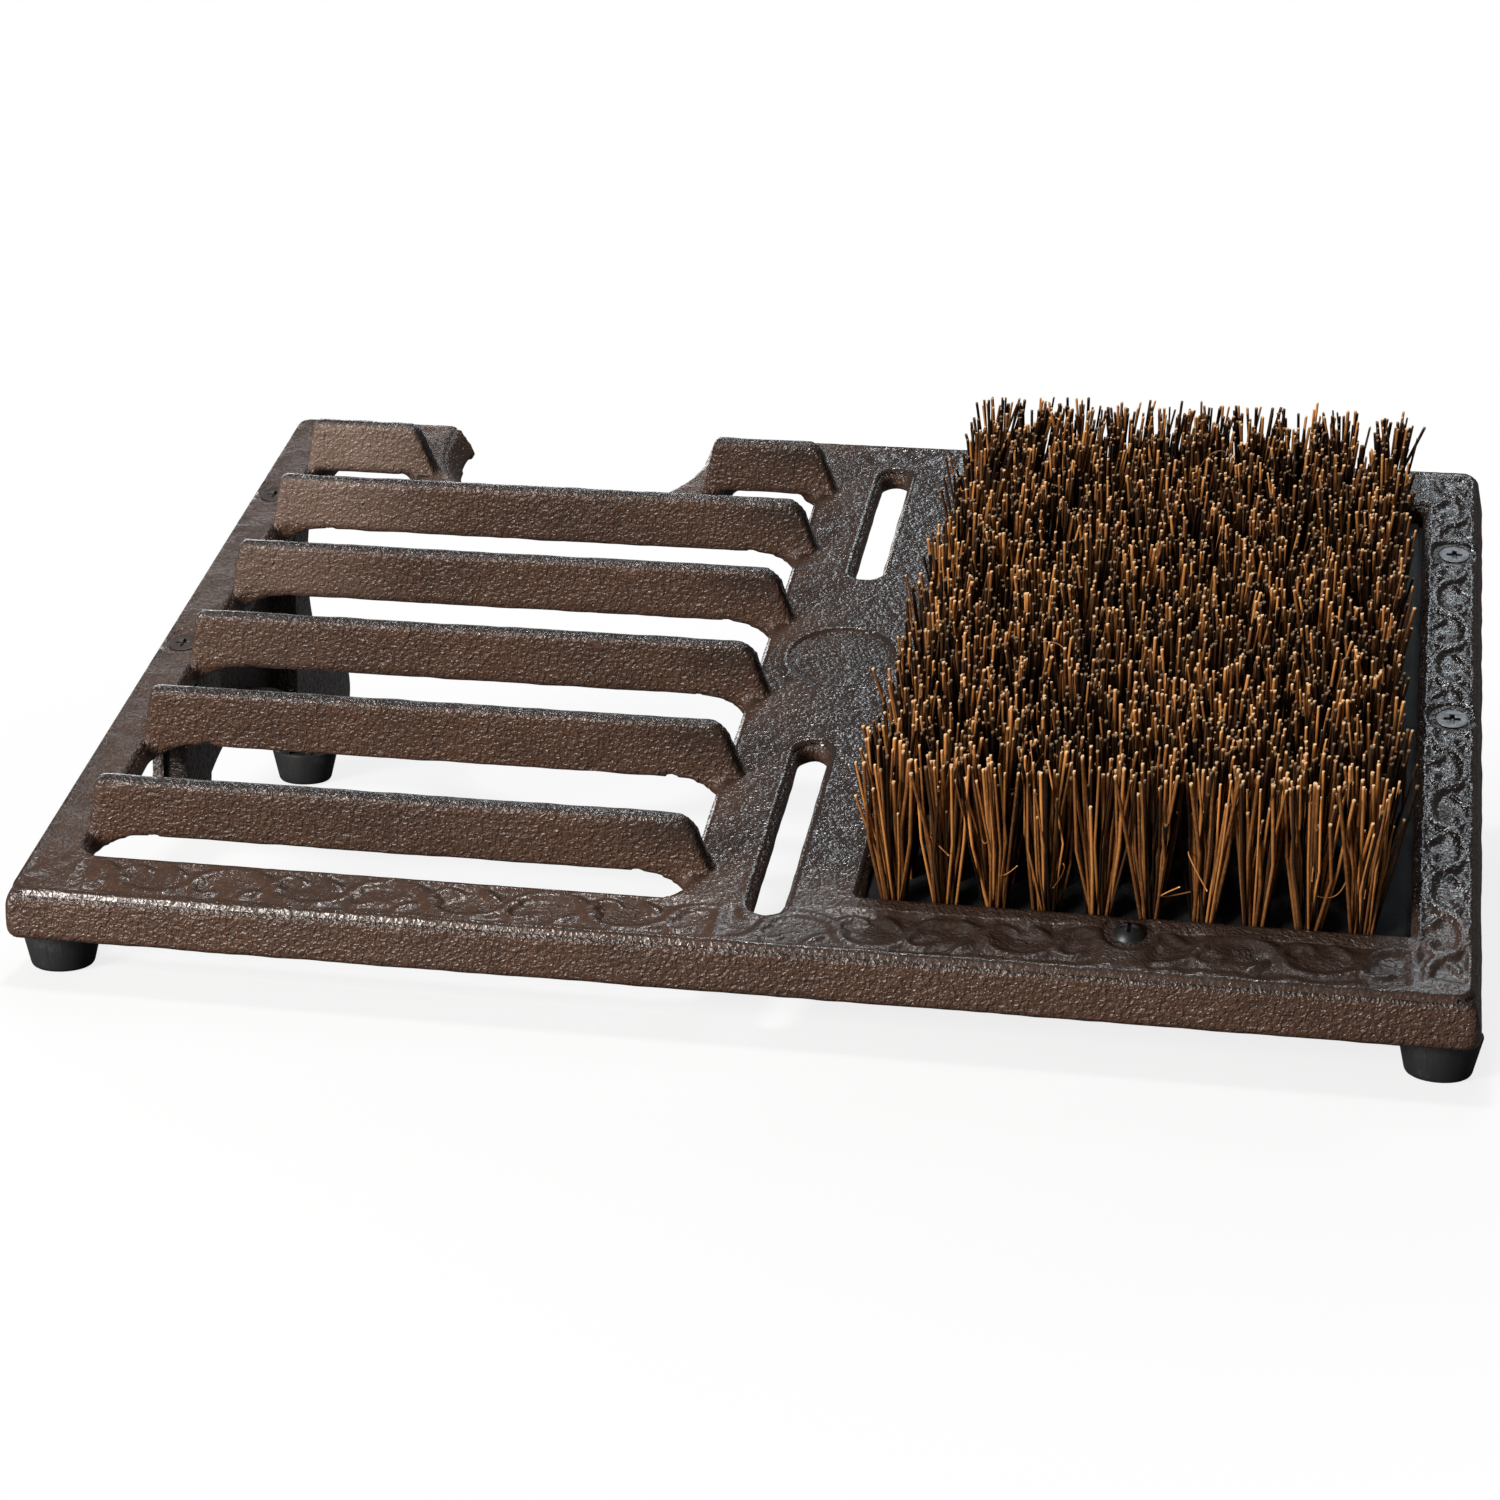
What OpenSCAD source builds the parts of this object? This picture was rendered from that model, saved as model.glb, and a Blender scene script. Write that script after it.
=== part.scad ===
// Cast iron boot scraper: a sloping plate with scraper bars, a boot jack notch and a brush.
// Millimetres. X runs along the front edge, Y to the back and Z up from the floor.
// The plate is drawn flat, with Y from its front edge and Z from its top, and then tilted.

/* [Plate] */
// Width of the plate along its front edge
plate_w = 370; // [350:1:390]
// Depth of the plate along its slope
plate_d = 256; // [250:1:270]
// Slope of the plate, which rises to the back
tilt = 20; // [17:0.5:22]
// Height of the front top edge above the floor
front_h = 24.5; // [23.5:0.5:30]
// Thickness of the cast skin
skin_t = 6; // [5:0.5:7]
// Depth of the rim that hangs round the plate
rim_h = 13.5; // [12:0.5:15]
// Thickness of the rim
rim_t = 3.5; // [3:0.5:4.5]
// How far the rim flares out at its lower edge
rim_draft = 2; // [1:0.5:3]
// Radius of the plate's top edge
edge_r = 2.5; // [1.5:0.5:3]
// Radius of the plate's corners
corner_r = 5; // [3:0.5:8]

/* [Grate] */
// Width of the rail at the left of the grate
left_rail_w = 14.7; // [14:0.1:18]
// Width of the rail in front of the grate
front_rail_w = 19; // [16:0.5:20]
// Corner radius of that opening
grate_r = 6; // [4:0.5:8]
// Width of the column between the grate and the brush
column_w = 45.4; // [40:0.1:50]
// Front face of the first bar, from the front edge
bar_first = 28.5; // [27:0.5:30]
// Step from the first bar to the second
front_step = 42.7; // [40:0.1:44]
// Step from the last bar to the short bars
jack_step = 34.8; // [33:0.1:37]
// Height of the bars above the plate
bar_h = 17; // [14:0.5:20]
// Thickness of a bar at its root
bar_root_t = 5.5; // [5:0.5:6.5]
// Thickness of a bar at its top
bar_top_t = 4; // [3:0.5:5]
// Radius of a bar's top edges
bar_edge_r = 1.2; // [0.8:0.1:1.4]
// How far a bar laps over the left rail
left_lap = 2.4; // [1.5:0.1:4]
// How far a bar laps over the column
right_lap = 7; // [5:0.5:9]
// How far a bar's left end slopes in, from root to top
bar_left_run = 4.5; // [3:0.5:8]
// How far a bar's right end slopes in, from root to top
bar_right_run = 5.5; // [4:0.5:10]
// Radius of a bar's upper left corner
left_corner_r = 3; // [2:0.5:5]
// Radius of a bar's upper right corner
right_corner_r = 7; // [4:0.5:8]
// Length of the haunch under a bar's left end
left_haunch_l = 16; // [10:0.5:18]
// Length of the haunch under a bar's right end
right_haunch_l = 13; // [10:0.5:18]

/* [Boot jack] */
// Radius of the notch that holds a boot's heel
notch_r = 41.5; // [38:0.5:44]
// Centre of the notch's round end, from the back edge
notch_in = 10; // [7:0.5:12]
// Width of the band round the notch
notch_band = 12; // [10:0.5:13]
// Width of that band's full thickness, next to the notch
band_full = 6; // [5:0.5:8]
// Thickness of the band in front, where it runs under the last bar
band_t = 3; // [2:0.5:4]
// Width of the thin ledge behind the short bars
ledge_w = 5.5; // [4:0.5:7]
// How far that ledge stays clear of the grate's corners
ledge_in = 4.6; // [4:0.1:8]
// How far that ledge stays clear of the notch's band
ledge_clear = 1; // [0.5:0.1:2]
// Depth of the lip on the notch's edge
lip_h = 9.5; // [8:0.5:11]
// How far the lip's arms reach in front of the notch's centre
lip_reach = 40; // [38:1:43]
// How far the lip reaches behind the notch's edge
lip_t = 2.5; // [2:0.5:4]
// How far the lip leans into the notch at its lower edge
lip_lean = 4; // [2:0.5:5]
// How far the lip's straight arms stand in from its curve
lip_arm_in = 0.3; // [0.2:0.1:0.5]
// Front face of the short bars beside the notch, from the back edge
jack_bar_in = 33; // [31:0.5:35]
// How far the left short bar reaches past the notch's left side
jack_left_reach = 1.5; // [0:0.5:2]
// How far the right short bar keeps from the notch's right side
jack_right_gap = 2; // [1:0.5:4]

/* [Column slots] */
// Width of a slot
slot_w = 8; // [7:0.5:10]
// Length of the front slot
front_slot_l = 75; // [60:1:80]
// Front end of the front slot, from the front edge
front_slot_y = 15; // [13:0.5:20]
// Length of the rear slot
rear_slot_l = 62.5; // [50:0.5:66]
// Back end of the rear slot, from the back edge
rear_slot_in = 17; // [15:0.5:20]
// Outer radius of the bare round medallion between the slots
medal_r = 16.5; // [14:0.5:18]
// Width of the medallion's ring
medal_ring = 2; // [1.5:0.5:3]
// Height of the medallion's ring
medal_h = 0.8; // [0.5:0.1:1.2]
// Depth of the medallion's bare field
medal_sink = 0.8; // [0.4:0.1:1.2]

/* [Brush] */
// Width of the brush window
window_w = 135.3; // [125:0.1:145]
// Width of the rail at the right of the window
right_rail_w = 16; // [15.5:0.1:18]
// Width of the rail behind the window
rear_rail_w = 21.5; // [20:0.5:24]
// Width of the rail in front of the window
window_rail = 25; // [22:0.5:27]
// Room round the brush block in its window
block_gap = 1.2; // [0.8:0.1:2]
// How far the block's top lies under the plate's top
block_sink = 5; // [4:0.5:5.5]
// Thickness of the brush block
block_t = 12; // [10:0.5:14]
// How far the block's ends reach under the plate
tab_l = 14; // [12.5:0.5:15]
// Thickness of those ends
tab_t = 5; // [4:0.5:6]
// How far the board's flange reaches under the window's sides
tab_side = 1.2; // [0.8:0.1:1.4]
// Tufts across the brush
tuft_nx = 8; // [6:1:8]
// Tufts from front to back
tuft_ny = 12; // [10:1:12]
// Height of the bristle tips above the plate, in the front row
tip_front = 44; // [38:1:48]
// Height of the bristle tips above the plate, in the back row
tip_back = 33; // [28:1:40]
// Thickness of a bristle
bristle_t = 2.2; // [1.6:0.1:2.4]
// Bare margin round the bristles
bristle_margin = 2; // [1.5:0.5:4]
// Thickness of the slice that holds the bristles
slice_t = 1.5; // [1:0.5:2]

/* [Legs and feet] */
// Thickness of a leg from side to side
leg_t = 10.5; // [9.5:0.5:10.5]
// Room between a leg and the rim beside it
leg_gap = 0.3; // [0.2:0.1:0.5]
// Front end of a leg under the rail
leg_front = 100; // [96:1:104]
// Back end of a leg under the rail, from the plate's back edge
leg_back_in = 32; // [28:1:34]
// Radius of the lobe at a leg's front
lobe_r = 10; // [8:0.5:11]
// How far the lobe stands out in front of its leg
lobe_out = 1; // [0.5:0.5:2]
// Height of the lobe's centre above the floor
lobe_z = 28; // [25:0.5:30]
// Rise of the arch under a leg
arch_rise = 18.5; // [16:0.5:22]
// Depth of the hollow behind a leg
scoop_rise = 18; // [14:0.5:19]
// Radius of a leg's round heel, behind its foot
heel_r = 11; // [9:0.5:11.5]
// Distance of the heel's centre behind the foot's centre
heel_back = 20; // [18:0.5:21]
// Height of the heel's centre above the foot's top
heel_lift = 13; // [12:0.5:15]
// Radius of the round hole in a leg
eye_r = 7; // [5:0.5:7.5]
// Width of the grooves along a leg's edges
groove_w = 5.4; // [4:0.1:6]
// Depth of those grooves
groove_d = 3; // [2:0.5:4]
// Thickness of a leg's outer web beside its grooves
web_t = 3.2; // [2.8:0.1:4]
// Width of the flanges round a leg's web
flange_w = 4.5; // [4:0.5:6]
// Front of the hollow inside a leg, behind the lobe
hollow_front = 9; // [8:0.5:12]
// Back of that hollow, before the foot's seat
hollow_back = 12.5; // [11:0.5:16]
// Height of a rubber foot
foot_h = 10.5; // [9:0.5:11]
// Radius of a foot at its top
foot_top_r = 10.5; // [9:0.5:11]
// Radius of a foot at the floor
foot_low_r = 8.2; // [7:0.1:8.5]
// Radius of a foot's lower edge
foot_edge_r = 0.8; // [0.5:0.1:2]
// Distance of a front foot's centre from the plate's side
front_foot_in = 7.5; // [7:0.5:9]
// Distance of a front foot's centre behind the front edge, on the floor
front_foot_y = 19.5; // [17:0.5:22]
// Distance of a rear foot's centre before the plate's back edge, on the floor
rear_foot_in = 26.5; // [25:0.5:28]

/* [Screws] */
// Radius of the leg screws
leg_screw_r = 1.95; // [1.5:0.05:2]
// Length of the leg screws
leg_screw_l = 15; // [12:0.5:15]
// Radius of the leg screws' countersunk heads
leg_head_r = 4.3; // [3.8:0.1:4.5]
// Distance of the leg screws from the plate's side
leg_screw_in = 7; // [6.5:0.1:8]
// Front leg screws, from the front edge
leg_screw_front = 122; // [118:1:126]
// Rear leg screws, from the back edge
leg_screw_back_in = 48; // [46:1:52]
// Radius of the brush screws
brush_screw_r = 1.9; // [1.5:0.1:2.2]
// Length of the brush screws under their heads
brush_screw_l = 12; // [9:0.5:14]
// Radius of the brush screws' round heads
brush_head_r = 4.2; // [3.5:0.1:4.6]
// Height of the brush screws' round heads
brush_head_h = 2.4; // [1.8:0.1:3]
// Distance of the brush screws from the window
brush_screw_out = 7; // [6:0.5:8]
// Radius of the foot screws
foot_screw_r = 1.9; // [1.5:0.1:2]
// Length of the foot screws under their heads
foot_screw_l = 13; // [11:0.5:14]
// Radius of the foot screws' heads
foot_head_r = 4; // [3.5:0.1:4.2]
// Height of the foot screws' heads
foot_head_h = 2.4; // [2:0.1:2.8]
// Radial room round a screw in its hole
screw_gap = 0.05; // [0.05:0.05:0.2]
// Radial room round a screw where it passes through
pass_gap = 0.4; // [0.3:0.1:0.6]
// Width of the cross in a screw head
cross_w = 1.1; // [0.8:0.1:1.4]
// Depth of the cross in a screw head
cross_h = 1.2; // [0.8:0.1:1.6]

/* [Hidden] */
$fn = 64;
IRON = [0.25, 0.18, 0.15];
RUBBER = [0.08, 0.08, 0.08];
FIBRE = [0.45, 0.27, 0.12];
BLOCK = [0.07, 0.07, 0.07];
ZINC = [0.55, 0.56, 0.57];
BLACK_STEEL = [0.1, 0.1, 0.11];
over = 1; // how far a cutting tool runs past the face it cuts

// Places on the plate
grate_w = plate_w - left_rail_w - column_w - window_w - right_rail_w;
window_d = plate_d - window_rail - rear_rail_w;
jack_bar_y = plate_d - jack_bar_in;
notch_y = plate_d - notch_in;
rear_slot_y = plate_d - rear_slot_in - rear_slot_l;
bar_pitch = (jack_bar_y - bar_first - front_step - jack_step) / 3;
band_x = sqrt(pow(notch_r + notch_band, 2) - pow(notch_y - jack_bar_y - bar_root_t, 2));
leg_back = plate_d - leg_back_in;
leg_screw_back = plate_d - leg_screw_back_in;
grate_x0 = -plate_w / 2 + left_rail_w;
grate_x1 = grate_x0 + grate_w;
window_x0 = grate_x1 + column_w;
window_x1 = window_x0 + window_w;
window_y1 = window_rail + window_d;
notch_x = (grate_x0 + grate_x1) / 2 + 1;
ledge_x0 = notch_x - band_x - ledge_clear;
ledge_x1 = notch_x + band_x + ledge_clear;
slot_x = (grate_x1 + window_x0) / 2;
medal_y = (front_slot_y + front_slot_l + rear_slot_y) / 2;
brush_screw_x = (window_x0 + window_x1) / 2;

// Sloping plate to upright frame, measured from the plate's front edge
function up_y(y, z) = y * cos(tilt) - z * sin(tilt);
function up_z(y, z) = y * sin(tilt) + z * cos(tilt) + front_h;
front_most = edge_r * (cos(tilt) + sin(tilt)) - edge_r;
back_most = up_y(plate_d + rim_draft, -rim_h);
middle_y = (front_most + back_most) / 2;

// Leg outline in the upright frame
rear_foot_y = up_y(plate_d, 0) - rear_foot_in;
leg_x0 = plate_w / 2 - rim_t - leg_gap - leg_t;
leg_mid_x = leg_x0 + leg_t / 2;
seat_w = 2 * foot_top_r - 2;
leg_top_front = [up_y(leg_front, -skin_t), up_z(leg_front, -skin_t)];
leg_top_back = [up_y(leg_back, -skin_t), up_z(leg_back, -skin_t)];
lobe_y = leg_top_front[0] + lobe_r - lobe_out;
seat_front = [rear_foot_y - seat_w / 2, foot_h];
seat_back = [rear_foot_y + seat_w / 2, foot_h];
heel_c = [rear_foot_y + heel_back, foot_h + heel_lift];
heel_top = heel_c + [0, heel_r];
lobe_back = [lobe_y + lobe_r, lobe_z];
eye_y = (lobe_back[0] + leg_top_back[0]) / 2 - eye_r;

// Radius of an arc that rises over the chord from p to q, and its centre, left of the way from p to q
function arc_r(p, q, rise) = (pow(norm(q - p) / 2, 2) + rise * rise) / (2 * rise);
function arc_centre(p, q, rise) =
    (p + q) / 2 + (arc_r(p, q, rise) - rise) * [p[1] - q[1], q[0] - p[0]] / norm(q - p);
arch_r = arc_r(seat_front, lobe_back, arch_rise);
arch_c = arc_centre(seat_front, lobe_back, arch_rise);
scoop_r = arc_r(leg_top_back, heel_top, scoop_rise);
scoop_c = arc_centre(leg_top_back, heel_top, scoop_rise);
groove_x = leg_x0 + leg_t - web_t - groove_w;

// Height of the lower edge of a leg's top flange
function under_z(y) = up_z((y - (skin_t + flange_w) * sin(tilt)) / cos(tilt), -skin_t - flange_w);
eye_z = (under_z(eye_y) + arch_c[1] + arch_r + flange_w) / 2;

module upright() {
    translate([0, -middle_y, 0]) children();
}

module on_slope() {
    upright() translate([0, 0, front_h]) rotate([tilt, 0, 0]) children();
}

module both_sides(side) {
    mirror([side < 0 ? 1 : 0, 0, 0]) children();
}

// Flat shapes
module round_rect(x0, y0, w, d, r) {
    translate([x0 + r, y0]) square([w - 2 * r, d]);
    translate([x0, y0 + r]) square([w, d - 2 * r]);
    for (x = [x0 + r, x0 + w - r], y = [y0 + r, y0 + d - r]) translate([x, y]) circle(r);
}

module slot_shape(y0, l) {
    translate([slot_x - slot_w / 2, y0 + slot_w / 2]) square([slot_w, l - slot_w]);
    for (y = [y0 + slot_w / 2, y0 + l - slot_w / 2]) translate([slot_x, y]) circle(d = slot_w);
}

module notch_shape(r) {
    translate([notch_x, notch_y]) circle(r);
    translate([notch_x - r, notch_y]) square([2 * r, plate_d]);
}

module grate_shape() {
    difference() {
        round_rect(grate_x0, front_rail_w, grate_w, jack_bar_y + bar_root_t - front_rail_w, grate_r);
        notch_shape(notch_r + notch_band);
    }
}

// Plate
module rim_profile(w) {
    polygon([
        [-w / 2 - rim_draft, -rim_h], [w / 2 + rim_draft, -rim_h], [w / 2, -edge_r],
        [w / 2 - edge_r, 0], [-w / 2 + edge_r, 0], [-w / 2, -edge_r]
    ]);
    for (s = [-1, 1]) translate([s * (w / 2 - edge_r), -edge_r]) circle(edge_r);
}

module plate_body() {
    reach = plate_w + plate_d;
    intersection() {
        translate([0, reach, 0]) rotate([90, 0, 0]) linear_extrude(2 * reach) rim_profile(plate_w);
        translate([-reach, plate_d / 2, 0]) rotate([90, 0, 90]) linear_extrude(2 * reach) rim_profile(plate_d);
        translate([0, 0, -rim_h - over]) linear_extrude(rim_h + 2 * over)
            round_rect(-plate_w / 2 - rim_draft, -rim_draft, plate_w + 2 * rim_draft,
                plate_d + 2 * rim_draft, corner_r);
    }
}

module plate_hollow() {
    translate([-plate_w / 2 + rim_t, rim_t, -rim_h - over])
        cube([plate_w - 2 * rim_t, plate_d - 2 * rim_t, rim_h - skin_t + over]);
}

module front_pads() {
    for (s = [-1, 1]) translate([s * (plate_w / 2 - front_foot_in), 0, 0])
        translate([0, front_foot_y, foot_h]) cylinder(r = foot_top_r, h = front_h - foot_h);
}

module screw_holes() {
    for (s = [-1, 1], y = [leg_screw_front, leg_screw_back])
        translate([s * (plate_w / 2 - leg_screw_in), y, 0]) {
            translate([0, 0, -rim_h]) cylinder(r = leg_screw_r + pass_gap, h = rim_h + over);
            translate([0, 0, -leg_head_r + leg_screw_r])
                cylinder(r1 = leg_screw_r, r2 = leg_head_r, h = leg_head_r - leg_screw_r);
        }
    for (y = [window_rail - brush_screw_out, window_y1 + brush_screw_out])
        translate([brush_screw_x, y, -rim_h]) cylinder(r = brush_screw_r + pass_gap, h = rim_h + over);
}

module notch_cut() {
    lean = lip_lean / lip_h;
    low = lean * (rim_h + over);
    high = lean * over;
    arm = notch_r - lip_arm_in;
    translate([notch_x, notch_y, -rim_h - over])
        cylinder(r1 = notch_r - low, r2 = notch_r + high, h = rim_h + 2 * over, $fn = 128);
    translate([notch_x, notch_y, 0]) rotate([90, 0, 180]) linear_extrude(plate_d) polygon([
        [-arm + low, -rim_h - over], [arm - low, -rim_h - over], [arm + high, over], [-arm - high, over]
    ]);
}

module plate() {
    color(IRON) difference() {
        union() {
            on_slope() {
                difference() {
                    plate_body();
                    plate_hollow();
                }
                intersection() {
                    plate_body();
                    translate([0, 0, -lip_h]) linear_extrude(lip_h - skin_t / 2) notch_shape(notch_r + lip_t);
                    translate([-plate_w, notch_y - lip_reach, -rim_h]) cube([2 * plate_w, plate_d, rim_h]);
                }
                translate([slot_x, medal_y, -skin_t / 2]) cylinder(r = medal_r, h = skin_t / 2 + medal_h);
            }
            intersection() {
                upright() front_pads();
                on_slope() translate([0, 0, -2 * rim_h]) linear_extrude(2 * rim_h - skin_t / 2)
                    round_rect(-plate_w / 2, 0, plate_w, plate_d, corner_r);
            }
        }
        on_slope() {
            translate([0, 0, -rim_h - over]) linear_extrude(rim_h + 2 * over) {
                grate_shape();
                slot_shape(front_slot_y, front_slot_l);
                slot_shape(rear_slot_y, rear_slot_l);
                translate([window_x0, window_rail]) square([window_w, window_d]);
            }
            notch_cut();
            screw_holes();
            translate([notch_x - notch_r, notch_y - notch_r - notch_band - over, -rim_h - over])
                cube([2 * notch_r, notch_band - band_full + over, rim_h + over - band_t]);
            for (x = [[grate_x0 + ledge_in, ledge_x0], [ledge_x1, grate_x1 - ledge_in]])
                translate([x[0], jack_bar_y + bar_root_t - over, -rim_h - over])
                    cube([x[1] - x[0], ledge_w + over, rim_h + over - band_t]);
            translate([slot_x, medal_y, -medal_sink])
                cylinder(r = medal_r - medal_ring, h = medal_sink + medal_h + over);
        }
        upright() for (s = [-1, 1])
            translate([s * (plate_w / 2 - front_foot_in), front_foot_y, 0])
                cylinder(r = foot_screw_r + screw_gap, h = foot_screw_l + foot_h - 1);
    }
}

// Bars
function corner_x(run, r) = run * (bar_h - r) / bar_h + r * norm([run, bar_h]) / bar_h;
left_corner_x = corner_x(bar_left_run, left_corner_r);
right_corner_x = corner_x(bar_right_run, right_corner_r);

module bar_end(x, run, r, dir) {
    slant = norm([run, bar_h]);
    cx = corner_x(run, r);
    translate([x, 0]) mirror([dir < 0 ? 1 : 0, 0]) {
        polygon([
            [0, 0], [cx + over, 0], [cx + over, bar_h], [cx, bar_h],
            [cx - r * bar_h / slant, bar_h - r + r * run / slant]
        ]);
        translate([cx, bar_h - r]) circle(r);
    }
}

module haunch(x, l, dir) {
    r = (l * l + skin_t * skin_t) / (2 * skin_t);
    translate([x, 0]) mirror([dir < 0 ? 1 : 0, 0]) difference() {
        translate([0, -skin_t]) square([l, skin_t]);
        translate([l, -r]) circle(r, $fn = 128);
    }
}

module bar_section() {
    slope = (bar_root_t - bar_top_t) / 2 / bar_h;
    wide = bar_root_t / 2 + slope * skin_t;
    r = bar_edge_r;
    polygon([
        [-wide, -skin_t], [wide, -skin_t], [bar_top_t / 2 + slope * r, bar_h - r],
        [bar_top_t / 2 - r, bar_h], [-bar_top_t / 2 + r, bar_h], [-bar_top_t / 2 - slope * r, bar_h - r]
    ]);
    for (s = [-1, 1]) translate([s * (bar_top_t / 2 - r), bar_h - r]) circle(r);
}

module bar(x0, x1, y, haunches) {
    color(IRON) on_slope() translate([0, y + bar_root_t / 2, 0]) intersection() {
        translate([0, bar_root_t, 0]) rotate([90, 0, 0]) linear_extrude(2 * bar_root_t) {
            bar_end(x0, bar_left_run, left_corner_r, 1);
            bar_end(x1, bar_right_run, right_corner_r, -1);
            translate([x0 + left_corner_x, 0]) square([x1 - x0 - left_corner_x - right_corner_x, bar_h]);
            if (haunches) haunch(grate_x0, left_haunch_l, 1);
            if (haunches) haunch(grate_x1, right_haunch_l, -1);
        }
        translate([x0 - over, 0, 0]) rotate([90, 0, 90]) linear_extrude(x1 - x0 + 2 * over) bar_section();
    }
}

module scraper_bar(i) {
    y = i == 0 ? bar_first : bar_first + front_step + (i - 1) * bar_pitch;
    bar(grate_x0 - left_lap, grate_x1 + right_lap, y, true);
}

module jack_bar(side) {
    if (side < 0) bar(grate_x0 - left_lap, notch_x - notch_r + jack_left_reach, jack_bar_y, false);
    else bar(notch_x + notch_r + jack_right_gap, grate_x1 + right_lap, jack_bar_y, false);
}

// Legs
module leg_shape() {
    difference() {
        polygon([
            leg_top_front, leg_top_back, heel_top, heel_c, seat_back, seat_front,
            lobe_back, [lobe_y, lobe_z - lobe_r / 2], [leg_top_front[0], lobe_z]
        ]);
        translate(arch_c) circle(arch_r, $fn = 128);
        translate(scoop_c) circle(scoop_r, $fn = 128);
        translate([eye_y, eye_z]) circle(eye_r);
    }
}

module hollow_shape() {
    front = lobe_back[0] + hollow_front;
    back = seat_front[0] - hollow_back;
    difference() {
        polygon([[front, 0], [back, 0], [back, under_z(back)], [front, under_z(front)]]);
        translate(arch_c) circle(arch_r + flange_w, $fn = 128);
    }
}

module leg_body() {
    rotate([90, 0, 90]) union() {
        linear_extrude(leg_t) leg_shape();
        translate([lobe_y, lobe_z, 0]) cylinder(r = lobe_r, h = leg_t);
        translate(concat(heel_c, 0)) cylinder(r = heel_r, h = leg_t);
    }
}

module leg(side) {
    color(IRON) both_sides(side) upright() difference() {
        translate([leg_x0, 0, 0]) leg_body();
        translate([groove_x, arch_c[0], arch_c[1]]) rotate([0, 90, 0])
            rotate_extrude($fn = 128) translate([arch_r - over, 0]) square([groove_d + over, groove_w]);
        translate([groove_x, leg_top_front[0] - lobe_out - over, 0])
            cube([groove_w, groove_d + over, leg_top_front[1] - skin_t]);
        translate([leg_x0 - over, 0, 0]) rotate([90, 0, 90]) linear_extrude(leg_t - web_t + over) hollow_shape();
        translate([0, 0, front_h]) rotate([tilt, 0, 0]) for (y = [leg_screw_front, leg_screw_back])
            translate([plate_w / 2 - leg_screw_in, y, -leg_screw_l - 1])
                cylinder(r = leg_screw_r + screw_gap, h = leg_screw_l);
        translate([leg_mid_x, rear_foot_y, 0])
            cylinder(r = foot_screw_r + screw_gap, h = foot_screw_l + foot_h - 1);
    }
}

// Brush
block_x0 = window_x0 + block_gap;
block_w = window_w - 2 * block_gap;
block_y0 = window_rail + block_gap;
block_d = window_d - 2 * block_gap;

module brush_block() {
    color(BLOCK) on_slope() difference() {
        union() {
            translate([block_x0, block_y0, -block_sink - block_t]) cube([block_w, block_d, block_t]);
            translate([window_x0 - tab_side, window_rail - tab_l, -skin_t - tab_t])
                cube([window_w + 2 * tab_side, window_d + 2 * tab_l, tab_t]);
        }
        for (y = [window_rail - brush_screw_out, window_y1 + brush_screw_out])
            translate([brush_screw_x, y, -skin_t - tab_t - over])
                cylinder(r = brush_screw_r + screw_gap, h = tab_t + 2 * over);
    }
}

// Bristles: four to a tuft, close together at the root and spread at the tip
cells_x = 2 * tuft_nx;
cells_y = 2 * tuft_ny;
slice_x0 = block_x0 + bristle_margin;
slice_y0 = block_y0 + bristle_margin;
cell_w = (block_w - 2 * bristle_margin) / cells_x;
cell_d = (block_d - 2 * bristle_margin) / cells_y;
slice_z = -block_sink + slice_t;
gather = 0.22; // share of a cell that a root moves towards the middle of its tuft
sway = 0.16; // share of a cell that a tip strays

// A repeatable stray value from -1 to 1
function stray(i, j, k) = sin(i * 127.1 + j * 311.7 + k * 74.7 + 40 * sin(i * 39.3 + j * 63.1 + k * 17));
function tuft_side(i) = i % 2 == 0 ? 1 : -1;
function corner_id(i, j) = j * (cells_x + 1) + i;
corners = (cells_x + 1) * (cells_y + 1);
function strand_id(i, j) = corners + 6 * (j * cells_x + i);
below = corners + 6 * cells_x * cells_y;

grid_points = [for (j = [0:cells_y], i = [0:cells_x])
    [slice_x0 + i * cell_w, slice_y0 + j * cell_d, slice_z]];
function root(i, j) = [
    slice_x0 + (i + 0.5 + gather * tuft_side(i)) * cell_w,
    slice_y0 + (j + 0.5 + gather * tuft_side(j)) * cell_d, slice_z];
function tip(i, j) = [
    slice_x0 + (i + 0.5 + sway * stray(i, j, 1)) * cell_w,
    slice_y0 + (j + 0.5 + sway * stray(i, j, 2)) * cell_d,
    tip_front + (tip_back - tip_front) * j / (cells_y - 1) + 1.5 * stray(i, j, 3)];
function triangle(p) = [for (a = [90, 210, 330]) p + bristle_t / 2 * [cos(a), sin(a), 0]];
strand_points = [for (j = [0:cells_y - 1], i = [0:cells_x - 1])
    each concat(triangle(root(i, j)), triangle(tip(i, j)))];

// Grid corners round the edge of the slice, anticlockwise from above
edge_ids = concat(
    [for (i = [0:cells_x - 1]) corner_id(i, 0)], [for (j = [0:cells_y - 1]) corner_id(cells_x, j)],
    [for (i = [cells_x:-1:1]) corner_id(i, cells_y)], [for (j = [cells_y:-1:1]) corner_id(0, j)]);
edges = len(edge_ids);
low_points = [for (k = edge_ids) [grid_points[k][0], grid_points[k][1], -block_sink]];
low_middle = [slice_x0 + cells_x * cell_w / 2, slice_y0 + cells_y * cell_d / 2, -block_sink];

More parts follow.
